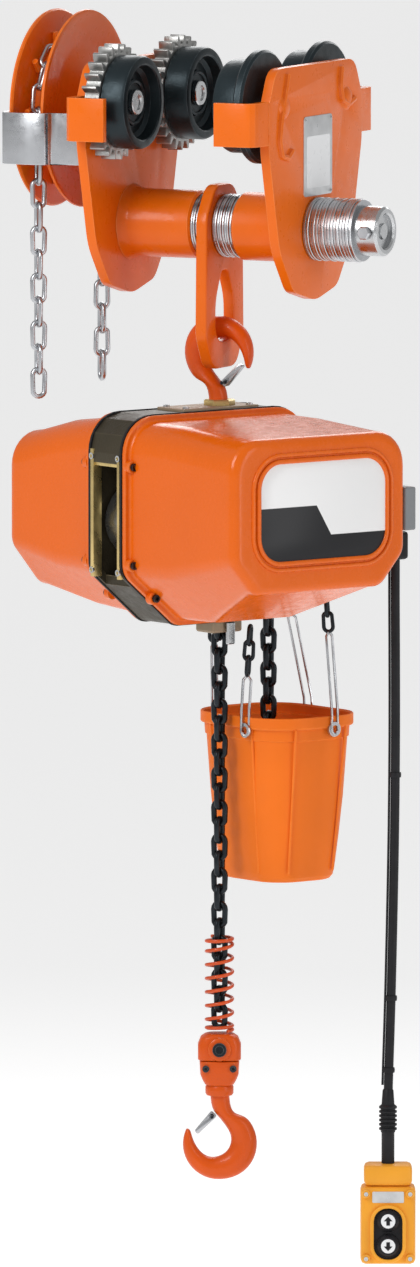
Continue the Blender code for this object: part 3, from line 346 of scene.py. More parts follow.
def finish(name, slot, colour, roughness, metallic=0.0, coat=0.0, tone=0.06, tone_scale=9, ripple=0.0,
           ripple_scale=400, stretch=None, edge=None, edge_reach=0.0015, edge_share=0.6):
    """A painted, plated or moulded surface."""
    made = bpy.data.materials.new(name)
    made.use_nodes = True
    tree = made.node_tree
    shader = tree.nodes["Principled BSDF"].inputs
    shader["Metallic"].default_value = metallic
    shader["Coat Weight"].default_value = coat
    shader["Coat Roughness"].default_value = COAT_ROUGHNESS
    shader["Specular IOR Level"].default_value = SPECULAR
    toned = wired(tree, "ShaderNodeGroup", {
        "Colour": (*colour, 1), "Depth": tone, "Scale": tone_scale}, node_tree=TONE).outputs
    colour_out = toned["Colour"]
    # Painted highlight along the edges, broken into patches like wear: the edge colour is a lighter copy of
    # the finish.
    if edge:
        edges = wired(tree, "ShaderNodeGroup", {"Reach": edge_reach}, node_tree=EDGES)
        patches = spread(tree, toned["Wear"], 0.35, 0.62, 0.25 * edge_share, edge_share)
        edge_wear_and_highlight = math_node(tree, "MULTIPLY", edges.outputs["Mask"], patches)
        colour_out = wired(tree, "ShaderNodeMix", {"Factor": edge_wear_and_highlight, 6: colour_out, 7: (*edge, 1)},
                           data_type="RGBA").outputs[2]
    tree.links.new(colour_out, shader["Base Color"])
    rough = spread(tree, toned["Wear"], 0.3, 0.7, max(roughness - UNEVEN, 0.02), roughness + UNEVEN)
    tree.links.new(rough, shader["Roughness"])
    if ripple:
        bump = wired(tree, "ShaderNodeBump", {
            "Strength": ripple, "Distance": 0.001, "Height": noise(tree, ripple_scale, 2, stretch)})
        tree.links.new(bump.outputs["Normal"], shader["Normal"])
    FINISHES[name], USUAL_SLOT[name] = made, slot


# Lighter orange for the edges of the orange paints: a painted highlight, partly wear.
LIGHT_ORANGE = (1.0, 0.42, 0.15)
finish("orange_enamel", "orange_paint", (0.76, 0.135, 0.003), 0.32, coat=0.12, ripple=0.12,
       edge=LIGHT_ORANGE)
finish("cover_enamel", "cover_paint", (0.72, 0.118, 0.002), 0.26, coat=0.16, tone=0.03, ripple=0.03,
       ripple_scale=160, edge=LIGHT_ORANGE, edge_reach=0.0025, edge_share=0.35)
finish("forged_enamel", "hook_paint", (0.66, 0.085, 0.003), 0.36, coat=0.12, ripple=0.3,
       ripple_scale=260, tone=0.14, edge=(0.95, 0.34, 0.10))
finish("graphite_iron", "graphite_iron", (0.022, 0.032, 0.037), 0.36, metallic=0.55, tone=0.2,
       ripple=0.15, edge=(0.16, 0.19, 0.21), edge_share=0.7)
finish("bright_steel", "bright_steel", (0.50, 0.51, 0.52), 0.26, metallic=1.0, tone=0.08, ripple=0.12,
       stretch=(8, 1, 1), ripple_scale=180, edge=(0.9, 0.9, 0.9))
finish("gear_steel", "bright_steel", (0.36, 0.36, 0.35), 0.38, metallic=0.9, tone=0.22, tone_scale=30,
       ripple=0.2, edge=(0.75, 0.75, 0.74))
finish("zinc_plate", "zinc_plate", (0.47, 0.48, 0.50), 0.30, metallic=1.0, tone=0.10, tone_scale=30,
       ripple=0.10, edge=(0.95, 0.95, 0.96))
finish("chain_steel", "black_steel", (0.022, 0.026, 0.030), 0.32, metallic=0.75, tone=0.25,
       tone_scale=60, ripple=0.15, edge=(0.25, 0.27, 0.29), edge_share=0.5)
finish("frame_casting", "frame_olive", (0.055, 0.045, 0.028), 0.42, metallic=0.35, tone=0.2, ripple=0.4,
       edge=(0.25, 0.20, 0.12))
finish("yellow_chromate", "zinc_plate", (0.62, 0.47, 0.20), 0.30, metallic=0.85, tone=0.3, tone_scale=25)
finish("guard_steel", "zinc_plate", (0.20, 0.20, 0.19), 0.30, metallic=0.9, tone=0.25, tone_scale=18,
       ripple=0.1)
finish("bucket_plastic", "bucket_plastic", (0.82, 0.165, 0.008), 0.50, tone=0.05, ripple=0.15,
       ripple_scale=900, edge=(0.98, 0.36, 0.08), edge_reach=0.002, edge_share=0.4)
finish("spring_paint", "spring_paint", (0.58, 0.07, 0.012), 0.36, coat=0.2, tone=0.15, tone_scale=60,
       edge=(0.9, 0.3, 0.1))
finish("pendant_plastic", "pendant_plastic", (0.84, 0.36, 0.03), 0.40, tone=0.06, tone_scale=20,
       ripple=0.12, ripple_scale=900, edge=(1.0, 0.66, 0.22))
finish("black_rubber", "black_rubber", (0.012, 0.012, 0.014), 0.50, tone=0.2, tone_scale=40, ripple=0.2,
       ripple_scale=700)
finish("button_rubber", "black_rubber", (0.010, 0.010, 0.012), 0.30, tone=0.1)
finish("white_print", "panel_print", (0.80, 0.81, 0.82), 0.32, tone=0.03)
finish("label_foil", "zinc_plate", (0.60, 0.61, 0.62), 0.35, metallic=0.6, tone=0.12, tone_scale=50)
finish("taupe_casting", "frame_olive", (0.33, 0.25, 0.17), 0.5, metallic=0.3, tone=0.15, ripple=0.3)
finish("motor_iron", "motor_iron", (0.10, 0.10, 0.105), 0.5, metallic=0.5, tone=0.2, ripple=0.4)
finish("control_plastic", "control_plastic", (0.22, 0.23, 0.24), 0.45, ripple=0.2)
print(len(FINISHES), "finishes")

# %% [markdown]
# The pendant hangs on a round rubber cable about 0.66 m long, all of it in sight. It leaves the gland on the
# hoist's far side straight down, bows a little outwards, and ends in the handset's rubber boot. A curve
# through the route's own points is the plainest way to make it.
# %% Pendant cable
CABLE_LONG, CABLE_THICK = 0.657, 0.011
CABLE_ROUTE = [
    (0.2234, 0.0223, -0.396), (0.2234, 0.0223, -0.440), (0.2236, 0.0225, -0.490),
    (0.2238, 0.0226, -0.550), (0.2238, 0.0226, -0.610), (0.2235, 0.0224, -0.670),
    (0.2229, 0.0221, -0.730), (0.2220, 0.0217, -0.790), (0.2209, 0.0212, -0.850),
    (0.2197, 0.0206, -0.910), (0.2185, 0.0200, -0.960), (0.2174, 0.0194, -1.000),
    (0.2166, 0.0190, -1.030), (0.2162, 0.0188, -1.053),
]
cable_curve = bpy.data.curves.new("power_cable", "CURVE")
cable_curve.dimensions = "3D"
cable_curve.bevel_depth = CABLE_THICK / 2
cable_curve.bevel_resolution = 4
cable_curve.use_fill_caps = True
cable_line = cable_curve.splines.new("BEZIER")
cable_line.bezier_points.add(len(CABLE_ROUTE) - 1)
for knot, (x, y, z) in zip(cable_line.bezier_points, CABLE_ROUTE):
    knot.co = (x, y, z - SHAFT_DROP)
    knot.handle_left_type = knot.handle_right_type = "AUTO"
cable_line.resolution_u = 4
power_cable = add_object("power_cable", cable_curve)
cable_curve.materials.append(FINISHES["black_rubber"])
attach(power_cable, "pendant")
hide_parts("pendant_cable")

# %% [markdown]
# Chains, screws and lugs repeat one shape many times. A geometry nodes tree does that well: it takes the
# places as points, each with a direction and a turn, and sets one shape on every point.
# %% Repeating tree


def repeat_tree(name, build_shape, numbers):
    """Points in, one shape on each point out. build_shape makes the shape from the named numbers."""
    tree = bpy.data.node_groups.new(name, "GeometryNodeTree")
    sockets = [("Geometry", "INPUT", "Geometry"), *((label, "INPUT", "Float") for label in numbers),
               ("Finish", "INPUT", "Material"), ("Geometry", "OUTPUT", "Geometry")]
    for label, way, kind in sockets:
        tree.interface.new_socket(name=label, in_out=way, socket_type="NodeSocket" + kind)
    start, end = tree.nodes.new("NodeGroupInput").outputs, tree.nodes.new("NodeGroupOutput").inputs

    def attribute(label, kind):
        return wired(tree, "GeometryNodeInputNamedAttribute", {"Name": label},
                     data_type=kind).outputs["Attribute"]

    aimed = wired(tree, "FunctionNodeAlignRotationToVector", {"Vector": attribute("along", "FLOAT_VECTOR")},
                  axis="Z")
    spin = wired(tree, "ShaderNodeCombineXYZ", {"Z": attribute("turn", "FLOAT")})
    turned = wired(tree, "FunctionNodeRotateRotation", {
        "Rotation": aimed.outputs["Rotation"], "Rotate By": spin.outputs["Vector"]},
        rotation_space="LOCAL")
    copies = wired(tree, "GeometryNodeInstanceOnPoints", {
        "Points": start["Geometry"], "Instance": build_shape(tree, start),
        "Rotation": turned.outputs["Rotation"]})
    real = wired(tree, "GeometryNodeRealizeInstances", {"Geometry": copies.outputs["Instances"]})
    dressed = wired(tree, "GeometryNodeSetMaterial", {
        "Geometry": real.outputs["Geometry"], "Material": start["Finish"]})
    tree.links.new(dressed.outputs["Geometry"], end["Geometry"])
    return tree


def link_shape(tree, sizes):
    """One chain link: a circle pulled into a long loop, then given its wire's thickness."""
    def half_run(label):
        return math_node(tree, "MULTIPLY", math_node(tree, "SUBTRACT", sizes[label], sizes["Wire"]), 0.5)

    radius = half_run("Width")
    straight = math_node(tree, "SUBTRACT", half_run("Length"), radius)
    loop = wired(tree, "GeometryNodeCurvePrimitiveCircle", {"Resolution": 16, "Radius": radius})
    place = tree.nodes.new("GeometryNodeInputPosition").outputs["Position"]
    parts = wired(tree, "ShaderNodeSeparateXYZ", {"Vector": place}).outputs
    side = math_node(tree, "SIGN", math_node(tree, "ADD", parts["Y"], 1e-6))
    lifted = math_node(tree, "MULTIPLY_ADD", side, straight, parts["Y"])
    upright = wired(tree, "ShaderNodeCombineXYZ", {"X": parts["X"], "Z": lifted})
    stretched = wired(tree, "GeometryNodeSetPosition", {
        "Geometry": loop.outputs["Curve"], "Position": upright.outputs["Vector"]})
    bar = wired(tree, "GeometryNodeCurvePrimitiveCircle", {
        "Resolution": 10, "Radius": math_node(tree, "MULTIPLY", sizes["Wire"], 0.5)})
    return wired(tree, "GeometryNodeCurveToMesh", {
        "Curve": stretched.outputs["Geometry"], "Profile Curve": bar.outputs["Curve"]}).outputs["Mesh"]


def screw_shape(tree, sizes):
    """One socket head: a short cylinder whose top is sunk in the middle."""
    head = wired(tree, "GeometryNodeMeshCylinder", {
        "Vertices": 18, "Radius": sizes["Radius"], "Depth": sizes["Height"]}).outputs
    rim = wired(tree, "GeometryNodeExtrudeMesh", {
        "Offset Scale": 0, "Mesh": head["Mesh"], "Selection": head["Top"]}).outputs
    socket = wired(tree, "GeometryNodeScaleElements", {
        "Scale": 0.58, "Geometry": rim["Mesh"], "Selection": rim["Top"]})
    return wired(tree, "GeometryNodeExtrudeMesh", {
        "Mesh": socket.outputs["Geometry"], "Selection": rim["Top"],
        "Offset Scale": math_node(tree, "MULTIPLY", sizes["Height"], -0.6)}).outputs["Mesh"]


def lug_shape(tree, sizes):
    """A tapered lug: a cone's frustum with few sides."""
    return wired(tree, "GeometryNodeMeshCone", {
        "Vertices": 8, "Radius Top": math_node(tree, "MULTIPLY", sizes["Radius"], 0.6),
        "Radius Bottom": sizes["Radius"], "Depth": sizes["Height"]}).outputs["Mesh"]


CHAIN_TREE = repeat_tree("chain_links", link_shape, ("Wire", "Width", "Length"))
SCREW_TREE = repeat_tree("socket_screws", screw_shape, ("Radius", "Height"))
LUG_TREE = repeat_tree("wheel_lugs", lug_shape, ("Radius", "Height"))


def repeated(name, tree, spots, place, paint, body, replaces=(), slot=None, **sizes):
    """A piece from (point, direction, turn) spots and the tree's named sizes."""
    mesh = bpy.data.meshes.new(name)
    mesh.from_pydata([place @ Vector(point) for point, _, _ in spots], [], [])
    turn_of = place.to_3x3()
    mesh.attributes.new("along", "FLOAT_VECTOR", "POINT")
    mesh.attributes.new("turn", "FLOAT", "POINT")
    for i, (_, direction, turn) in enumerate(spots):
        mesh.attributes["along"].data[i].vector = (turn_of @ Vector(direction)).normalized()
        mesh.attributes["turn"].data[i].value = turn
    holder = add_object(name, mesh)
    modifier = holder.modifiers.new("repeat", "NODES")
    modifier.node_group = tree
    values = {**sizes, "Finish": FINISHES[paint]}
    for item in tree.interface.items_tree:
        if item.in_out == "INPUT" and item.name in values:
            modifier[item.identifier] = values[item.name]
    made = evaluated_mesh(holder)
    bpy.data.objects.remove(holder)
    finish_piece(name, made, Matrix(), paint, body, replaces, smooth=40)
    print(name, len(spots), "copies,", len(made.vertices), "points")


# %% [markdown]
# Round-link chain: each link is turned a quarter against the one above. The load chain is 7.1 mm wire with a
# 20.5 mm pitch, blackened and hard. The slack side runs down into the bucket.
# %% Load chain
LOAD_WIRE, LOAD_PITCH, LOAD_WIDE = 0.0071, 0.0205, 0.0222
SHEAVE_R = 0.0375
BLOCK_TOP = -0.977


def hanging_links(top, bottom, pitch, u=0.0, w=0.0, turn=0.0):
    count = round((top - bottom) / pitch)
    return [((u, w, top - (i + 0.5) * pitch), (0, 0, 1), turn + math.pi / 2 * (i % 2)) for i in range(count)]


load_sizes = {"Wire": LOAD_WIRE, "Width": LOAD_WIDE, "Length": LOAD_PITCH + 2 * LOAD_WIRE}
repeated(
    "load_chain_links", CHAIN_TREE, hanging_links(-0.372, BLOCK_TOP + 0.004, LOAD_PITCH), HOIST,
    "chain_steel", "load", ["load_chain"], **load_sizes)
repeated(
    "slack_chain_links", CHAIN_TREE, hanging_links(-0.372, -0.685, LOAD_PITCH, w=2 * SHEAVE_R), HOIST,
    "chain_steel", "slack_chain", ["slack_chain"], **load_sizes)

# %% [markdown]
# The hand chain is lighter, bright zinc and longer in the link. It lies over the hand wheel in its pockets
# and hangs down on both sides, so its spots follow a line, an arc and a line.
# %% Hand chain
HAND_X, HAND_Z = -0.200, 0.134868
HAND_R = 0.0855
HAND_PITCH = 0.0285
FRONT_END, REAR_END = -0.205, -0.224
front_long, rear_long = HAND_Z - FRONT_END, HAND_Z - REAR_END
arc_long = math.pi * HAND_R
hand_spots = []
for i in range(int((front_long + arc_long + rear_long) / HAND_PITCH)):
    run = (i + 0.5) * HAND_PITCH
    if run < front_long:
        point, along = (HAND_X, -HAND_R, FRONT_END + run), (0, 0, 1)
    elif run < front_long + arc_long:
        angle = math.pi - (run - front_long) / HAND_R
        point = (HAND_X, HAND_R * math.cos(angle), HAND_Z + HAND_R * math.sin(angle))
        along = (0, math.sin(angle), -math.cos(angle))
    else:
        point, along = (HAND_X, HAND_R, HAND_Z - (run - front_long - arc_long)), (0, 0, -1)
    hand_spots.append((point, along, math.pi / 4 + math.pi / 2 * (i % 2)))
repeated(
    "hand_chain_links", CHAIN_TREE, hand_spots, TROLLEY, "zinc_plate", "trolley", ["hand_chain"],
    Wire=0.006, Width=0.0215, Length=HAND_PITCH + 0.0108)

# %% [markdown]
# Turned pieces, such as wheels, washers and the shaft, are one profile swept round an axis. Sixty-four
# steps keep their outlines round, and small steps in the profile catch the light as real edges do.
# %% Shaft, collars and washers
SHAFT_R, SHAFT_LEFT, SHAFT_RIGHT = 0.030, -0.150, 0.222
LATHE_X = TROLLEY @ ALONG_X
finish_piece(
    "turned_shaft", lathe([(0, SHAFT_LEFT), (0.027, SHAFT_LEFT), (SHAFT_R, SHAFT_LEFT + 0.003),
    (SHAFT_R, SHAFT_RIGHT - 0.003), (SHAFT_R - 0.003, SHAFT_RIGHT), (0.0225, SHAFT_RIGHT),
    (0.0205, SHAFT_RIGHT - 0.002), (0.0205, SHAFT_RIGHT - 0.006), (0.01, SHAFT_RIGHT - 0.006),
    (0.009, SHAFT_RIGHT - 0.003), (0, SHAFT_RIGHT - 0.003)]), LATHE_X, "bright_steel", "trolley",
    ["suspension_shaft"])


def washers(name, low, high, count, replaces):
    """Washers side by side. Each has a small edge round and its own slight difference in size."""
    step = (high - low) / count
    rings = []
    for i in range(count):
        start, outer = low + i * step, 0.0378 + 0.0005 * math.sin(2.4 * i)
        rings.append(
            lathe([(0.0301, start), (outer - 0.0007, start), (outer, start + 0.0007),
            (outer, start + step - 0.0009), (outer - 0.0007, start + step - 0.0003),
            (0.0301, start + step - 0.0003)], closed=True))
    finish_piece(name, joined(*rings), LATHE_X, "zinc_plate", "trolley", [replaces])


LINK_HALF = 0.0081
washers("thin_washers_left", -LINK_HALF - 0.0128, -LINK_HALF, 4, "inner_washers_left")
washers("thin_washers_right", LINK_HALF, LINK_HALF + 0.0256, 8, "inner_washers_right")
washers("thin_washers_outside", 0.1283, 0.1923, 16, "outer_washers")


def collar_profile(inner_end, plate_end):
    """From the washers' end to the flare at the plate."""
    toward = 1 if plate_end > inner_end else -1
    flare = [
        (0.0306, inner_end), (0.0385, inner_end), (0.041, inner_end + toward * 0.0025),
        (0.041, plate_end - toward * 0.014)]
    flare += [(0.0415 + 0.0045 * k**2 / 16, plate_end - toward * 0.014 * (1 - k / 4)) for k in range(1, 5)]
    return flare + [(0.0306, plate_end)]


finish_piece(
    "collar_left", lathe(collar_profile(-0.0212, -0.1157), closed=True), LATHE_X, "orange_enamel",
    "trolley", ["left_collar"])
finish_piece(
    "collar_right", lathe(collar_profile(0.034, 0.1157), closed=True), LATHE_X, "orange_enamel", "trolley",
    ["right_collar"])
bolt_at = TROLLEY @ Matrix.Translation((0.208, 0, 0))
lock_bolt = joined(
    lathe([(0, -0.033), (0.005, -0.033), (0.005, 0.0335), (0.004, 0.0345), (0, 0.0345)], 24),
    lathe([(0, -0.0372), (0.0072, -0.0372), (0.0088, -0.0355), (0.0088, -0.0312), (0, -0.0312)], 6))
finish_piece("lock_bolt", lock_bolt, bolt_at @ ALONG_Y, "zinc_plate", "trolley", ["shaft_lock_bolt"])

# %% [markdown]
# The running wheels are dark cast iron with a machined tread. Their inner faces are dished, with a bearing
# and a cap in the middle. The plain ones carry a flange. Each axle ends in a nut on the left plate and in a
# spun head on the right one.
# %% Running wheels
TREAD_R, TREAD_IN, TREAD_OUT, FLANGE_R = 0.056, 0.058, 0.090, 0.068
WHEEL_Y, WHEEL_Z = 0.086, 0.151


def wheel_face(bore):
    """The dished face, from the tread's corner in to the bore."""
    return [
        (TREAD_R, TREAD_IN + 0.0045), (TREAD_R - 0.0015, TREAD_IN + 0.0012), (TREAD_R - 0.004, TREAD_IN),
        (TREAD_R - 0.0095, TREAD_IN), (TREAD_R - 0.011, TREAD_IN + 0.0012),
        (TREAD_R - 0.0135, TREAD_IN + 0.013), (TREAD_R - 0.018, TREAD_IN + 0.0165),
        (0.0285, TREAD_IN + 0.0165), (0.0275, TREAD_IN + 0.0125), (0.0255, TREAD_IN + 0.0115),
        (0.0235, TREAD_IN + 0.0125), (0.0225, TREAD_IN + 0.0148), (bore, TREAD_IN + 0.0148)]


def wheel_place(end, hand):
    return TROLLEY @ Matrix.Translation((0, end * WHEEL_Y, WHEEL_Z)) @ Matrix.Rotation(
        hand * math.pi / 2, 4, "Y")


for label, end in (("front", -1), ("rear", 1)):
    drive = [
        (0.0116, TREAD_OUT - 0.0003), (TREAD_R - 0.0015, TREAD_OUT - 0.0003), (TREAD_R, TREAD_OUT - 0.0018)]
    finish_piece(
        f"drive_tread_{label}", lathe(drive + wheel_face(0.0116), 72, True), wheel_place(end, -1),
        "graphite_iron", f"drive_wheel_{label}", [f"drive_wheel_{label}"])
    plain = [
        (0.0116, 0.104), (0.03, 0.104), (FLANGE_R - 0.003, 0.1035), (FLANGE_R, 0.1005), (FLANGE_R, 0.0935),
        (FLANGE_R - 0.002, 0.0912), (TREAD_R, TREAD_OUT - 0.0012)]
    finish_piece(
        f"plain_tread_{label}", lathe(plain + wheel_face(0.0116), 72, True), wheel_place(end, 1),
        "graphite_iron", f"plain_wheel_{label}", [f"plain_wheel_{label}"])
    pin = [
        (0.011, 0.1283), (0.011, 0.0722), (0.0148, 0.0722), (0.0152, 0.0712), (0.0152, 0.0672),
        (0.0142, 0.0662), (0.0095, 0.0662), (0.0085, 0.0682), (0, 0.0682)]
    nut = [(0.0112, 0.1283), (0.0182, 0.1283), (0.0182, 0.1352), (0.0165, 0.1368), (0.0112, 0.1368)]
    stud = joined(lathe([(0, 0.1378), (0.0095, 0.1378), (0.011, 0.1365)] + pin, 40), lathe(nut, 6, True))
    finish_piece(
        f"axle_left_{label}", stud, wheel_place(end, -1), "bright_steel", "trolley", [f"left_{label}_axle"])
    finish_piece(
        f"axle_right_{label}", lathe([(0, 0.129), (0.01, 0.129)] + pin, 40), wheel_place(end, 1),
        "bright_steel", "trolley", [f"right_{label}_axle"])
    dome = [(0, 0.1322), (0.006, 0.1318), (0.011, 0.1303), (0.0145, 0.1276), (0, 0.1276)]
    finish_piece(f"axle_cap_{label}", lathe(dome, 40), wheel_place(end, 1), "orange_enamel", "trolley")

# %% [markdown]
# The hand wheel is two dished flanges with a pocketed groove between them. The lugs that part the pockets
# repeat round the groove.
# %% Hand wheel
WHEEL_R, WHEEL_HALF = 0.119, 0.023
GROOVE_R, GROOVE_HALF = 0.072, 0.0145
HAND_AXIS = TROLLEY @ Matrix.Translation((0, 0, HAND_Z)) @ ALONG_X


def wheel_flange(sign):
    """From the groove's floor, over the rim and back to the hub."""
    def at(x):
        return HAND_X + sign * x
    return [
        (GROOVE_R, at(GROOVE_HALF - 0.002)), (GROOVE_R + 0.004, at(GROOVE_HALF)),
        (WHEEL_R - 0.006, at(WHEEL_HALF - 0.0055)), (WHEEL_R - 0.002, at(WHEEL_HALF - 0.0048)),
        (WHEEL_R, at(WHEEL_HALF - 0.0028)), (WHEEL_R - 0.0006, at(WHEEL_HALF - 0.0006)),
        (WHEEL_R - 0.003, at(WHEEL_HALF)), (WHEEL_R - 0.008, at(WHEEL_HALF - 0.001)), (0.082, at(0.019)),
        (0.074, at(0.0175)), (0.064, at(0.0195)), (0.044, at(0.0262))]


inner_hub = [(0.034, HAND_X + 0.030), (0.030, HAND_X + 0.040), (0.028, -0.1405), (0.0123, -0.1400)]
outer_hub = [(0.031, HAND_X - 0.0292), (0.028, HAND_X - 0.030), (0.0123, HAND_X - 0.030)]
rim_profile = list(reversed(wheel_flange(1) + inner_hub)) + wheel_flange(-1) + outer_hub
finish_piece(
    "hand_wheel_casting", lathe(rim_profile, 96, True), HAND_AXIS, "orange_enamel", "hand_wheel",
    ["hand_wheel"])
LUGS = 9
lug_spots = []
for i in range(LUGS):
    angle = 2 * math.pi * (i + 0.5) / LUGS
    out = (0, math.cos(angle), math.sin(angle))
    for side in (-1, 1):
        lug_spots.append(((HAND_X + side * 0.0115, out[1] * 0.0775, HAND_Z + out[2] * 0.0775), out, 0.4))
repeated(
    "hand_wheel_lugs", LUG_TREE, lug_spots, TROLLEY, "orange_enamel", "hand_wheel", Radius=0.0062,
    Height=0.016)

# %% [markdown]
# Plates and forgings keep the solid model's outline. A copy of the solid part is welded, its flat faces are
# made whole again, and its edges are rounded, because a real cut edge is never perfectly sharp.
# %% Rounded copies of solid parts


def refined(name, node, paint, body, width, segments=3, angle=30):
    """A welded copy of a solid part with rounded edges, in that part's place."""
    bm = bmesh.new()
    bm.from_mesh(frame["nodes"][node].data)
    bmesh.ops.remove_doubles(bm, verts=bm.verts, dist=2e-5)
    bmesh.ops.dissolve_limit(bm, angle_limit=math.radians(1), verts=bm.verts, edges=bm.edges)
    finish_piece(
        name, to_mesh(bm, outward=False), Matrix(), paint, body, [node],
        modifiers=[bevelled(width, segments, angle)])


refined("plate_left", "left_side_plate", "orange_enamel", "trolley", 0.0016)
refined("plate_right", "right_side_plate", "orange_enamel", "trolley", 0.0016)
refined("guide_strip", "chain_guide", "zinc_plate", "trolley", 0.0008)
refined("hanger_link", "suspender", "orange_enamel", "suspender", 0.0026, 4)
refined("top_latch_strip", "top_latch", "zinc_plate", "top_latch", 0.0006, 2)
refined("bottom_latch_strip", "bottom_latch", "zinc_plate", "bottom_latch", 0.0006, 2)
for end in ("front", "rear"):
    refined(f"gear_{end}", f"drive_gear_{end}", "gear_steel", f"drive_wheel_{end}", 0.0005, 2)
refined("pinion", "drive_pinion", "gear_steel", "hand_wheel", 0.0005, 2)

# %% [markdown]
# The right plate carries a rating plate of bare metal with four rivets, left blank here, and two hooked ribs
# are pressed into it.
# %% Plate details
PLATE_FACE = 0.128


def rib(name, points):
    line = [(PLATE_FACE + 0.0002, y, z) for y, z in points]
    finish_piece(name, wire_mesh(line, 0.0042, 12, smooth_line=True), TROLLEY, "orange_enamel", "trolley")


rib(
    "pressed_rib_front", [(-0.078, 0.19), (-0.086, 0.166), (-0.096, 0.138), (-0.101, 0.112),
    (-0.094, 0.093), (-0.078, 0.09), (-0.066, 0.098)])
rib("pressed_rib_rear", [(0.070, 0.190), (0.066, 0.168), (0.072, 0.150), (0.088, 0.144), (0.106, 0.150)])
rating = slab(
    rounded([(-0.034, 0.04, 0.005), (0.044, 0.04, 0.005), (0.044, 0.136, 0.005), (-0.034, 0.136, 0.005)]),
    PLATE_FACE - 0.0004, PLATE_FACE + 0.001)
finish_piece(
    "rating_plate", rating, TROLLEY @ FACING_X, "label_foil", "trolley", modifiers=[bevelled(0.0004, 2)])
rating_field = slab(
    rounded([(-0.027, 0.05, 0.003), (0.037, 0.05, 0.003), (0.037, 0.112, 0.003), (-0.027, 0.112, 0.003)]),
    PLATE_FACE, PLATE_FACE + 0.0013)
finish_piece("rating_field", rating_field, TROLLEY @ FACING_X, "white_print", "trolley")
rivets = [((PLATE_FACE + 0.0012, y, z), (1, 0, 0), 0.0) for y in (-0.030, 0.040) for z in (0.044, 0.132)]
repeated(
    "rating_rivets", SCREW_TREE, rivets, TROLLEY, "bright_steel", "trolley", slot="zinc_plate",
    Radius=0.0018, Height=0.0012)

# %% [markdown]
# A forged hook is a round bar bent to a bowl, thickest at the bottom and drawn out to a tip. Rings round the
# bowl's centre give that, and a subdivision surface rounds the skin between them.
# %% Hooks
HOOK_OUT_R, BOWL_SIDE, BOWL_RISE, SHANK_R = 0.0468, 0.007, 0.005, 0.0115
HOOK_SPANS = [
    (62, 1.0, 0.0125), (35, 1.0, 0.012), (5, 1.0, 0.012), (-25, 1.0, 0.0125), (-55, 1.0, 0.013),
    (-90, 1.0, 0.013), (-120, 1.0, 0.0125), (-150, 1.0, 0.011), (-178, 0.8, 0.009), (-200, 0.42, 0.006),
    (-203, 0.22, 0.003)]


def hook_mesh(bowl_r, outer_z, sense, shank_end):
    """Rings along the shank and round the bowl. sense is 1 with the shank above the bowl, -1 below it."""
    inner = Vector((-BOWL_SIDE * sense, outer_z + BOWL_RISE * sense))
    outer = Vector((inner.x + 0.008 * sense, outer_z))
    sides = 12

    def ring(centre, across, wide, deep):
        loop = []
        for i in range(sides):
            angle = 2 * math.pi * i / sides
            squared = 1.07 if wide < 0.9 * deep or deep < 0.9 * wide else 1.04
            out = across * (wide * squared * math.cos(angle))
            loop.append((centre.x + out.x, deep * squared * math.sin(angle), centre.y + out.y))
        return loop

    across = Vector((sense, 0))
    neck = inner.y + sense * (bowl_r + 0.016)
    rings = [
        ring(Vector((0, shank_end)), across, SHANK_R, SHANK_R),
        ring(Vector((0, shank_end * 0.9 + neck * 0.1)), across, SHANK_R, SHANK_R),
        ring(Vector((0, neck)), across, SHANK_R, SHANK_R)]
    from_outer = inner - outer
    for degrees, share, deep in HOOK_SPANS:
        angle = math.radians(degrees)
        ray = Vector((math.cos(angle), math.sin(angle))) * sense
        along = ray.dot(from_outer)
        reach = -along + math.sqrt(along**2 - from_outer.length_squared + HOOK_OUT_R**2)
        wide = (reach - bowl_r) / 2 * share
        opened = 0.5 * (reach - bowl_r) * (1 - share)
        rings.append(
            ring(inner + ray * ((reach + bowl_r) / 2 + opened * 0.6), across if degrees > 60 else ray, wide,
            deep))
    return loft(rings)


SUBDIVIDE = ("SUBSURF", {"levels": 2, "render_levels": 2})
TOP_HOOK_Z = -0.106 - HOOK_OUT_R
LOW_HOOK_Z = -1.1586 + HOOK_OUT_R
BLOCK_END = -1.040
finish_piece(
    "forged_top_hook", hook_mesh(0.0247, TOP_HOOK_Z, -1, -0.268), TROLLEY, "forged_enamel", "top_hook",
    ["top_hook"], smooth=180, modifiers=[SUBDIVIDE])
finish_piece(
    "forged_bottom_hook", hook_mesh(0.0224, LOW_HOOK_Z, 1, BLOCK_END + 0.02), HOOK, "forged_enamel",
    "bottom_hook", ["bottom_hook"], smooth=180, modifiers=[SUBDIVIDE])
finish_piece(
    "hook_collar", lathe([(0.011, -1.0402), (0.0158, -1.0402), (0.017, -1.042), (0.017, -1.05),
    (0.0155, -1.0525), (0.011, -1.0535)], 48, True), HOOK, "forged_enamel", "bottom_hook")

# %% [markdown]
# Each half of the body is a drawn cover with crisp, lightly rounded edges. It is a row of sections from the
# flange to the closed end, all with the same number of points, so that one skin joins them.
# %% Body covers
BODY_W, BODY_Z = -0.035, -0.347
HALF_W, HALF_H, CHAMFER_W, CHAMFER_Z = 0.138, 0.127, 0.061, -0.062
FRAME_HALF, FRONT_U, REAR_U = 0.032, 0.240, -0.203


def section(half_w, top, side_z, low_w, low_z, radii):
    half = [(low_w, low_z, radii[0]), (half_w, side_z, radii[1]), (half_w, top, radii[2])]
    return [(BODY_W + w, BODY_Z + z) for w, z in rounded(mirrored(half), 8)]


def body_section(inset):
    slope = math.atan2(CHAMFER_Z + HALF_H, HALF_W - CHAMFER_W)
    return section(
        HALF_W - inset, HALF_H - inset, CHAMFER_Z + inset * math.tan((math.pi / 2 - slope) / 2),
        CHAMFER_W - inset * math.tan(slope / 2), -HALF_H + inset, (0.022, 0.028, max(0.045 - inset, 0.01)))


def shrunk(sizes, inset):
    half_w, top, side_z, low_w, low_z, radii = sizes
    return section(
        half_w - inset, top - inset, side_z + 0.4 * inset, low_w - 0.6 * inset, low_z + inset,
        tuple((max(r - 0.5 * inset, 0.008) for r in radii)))


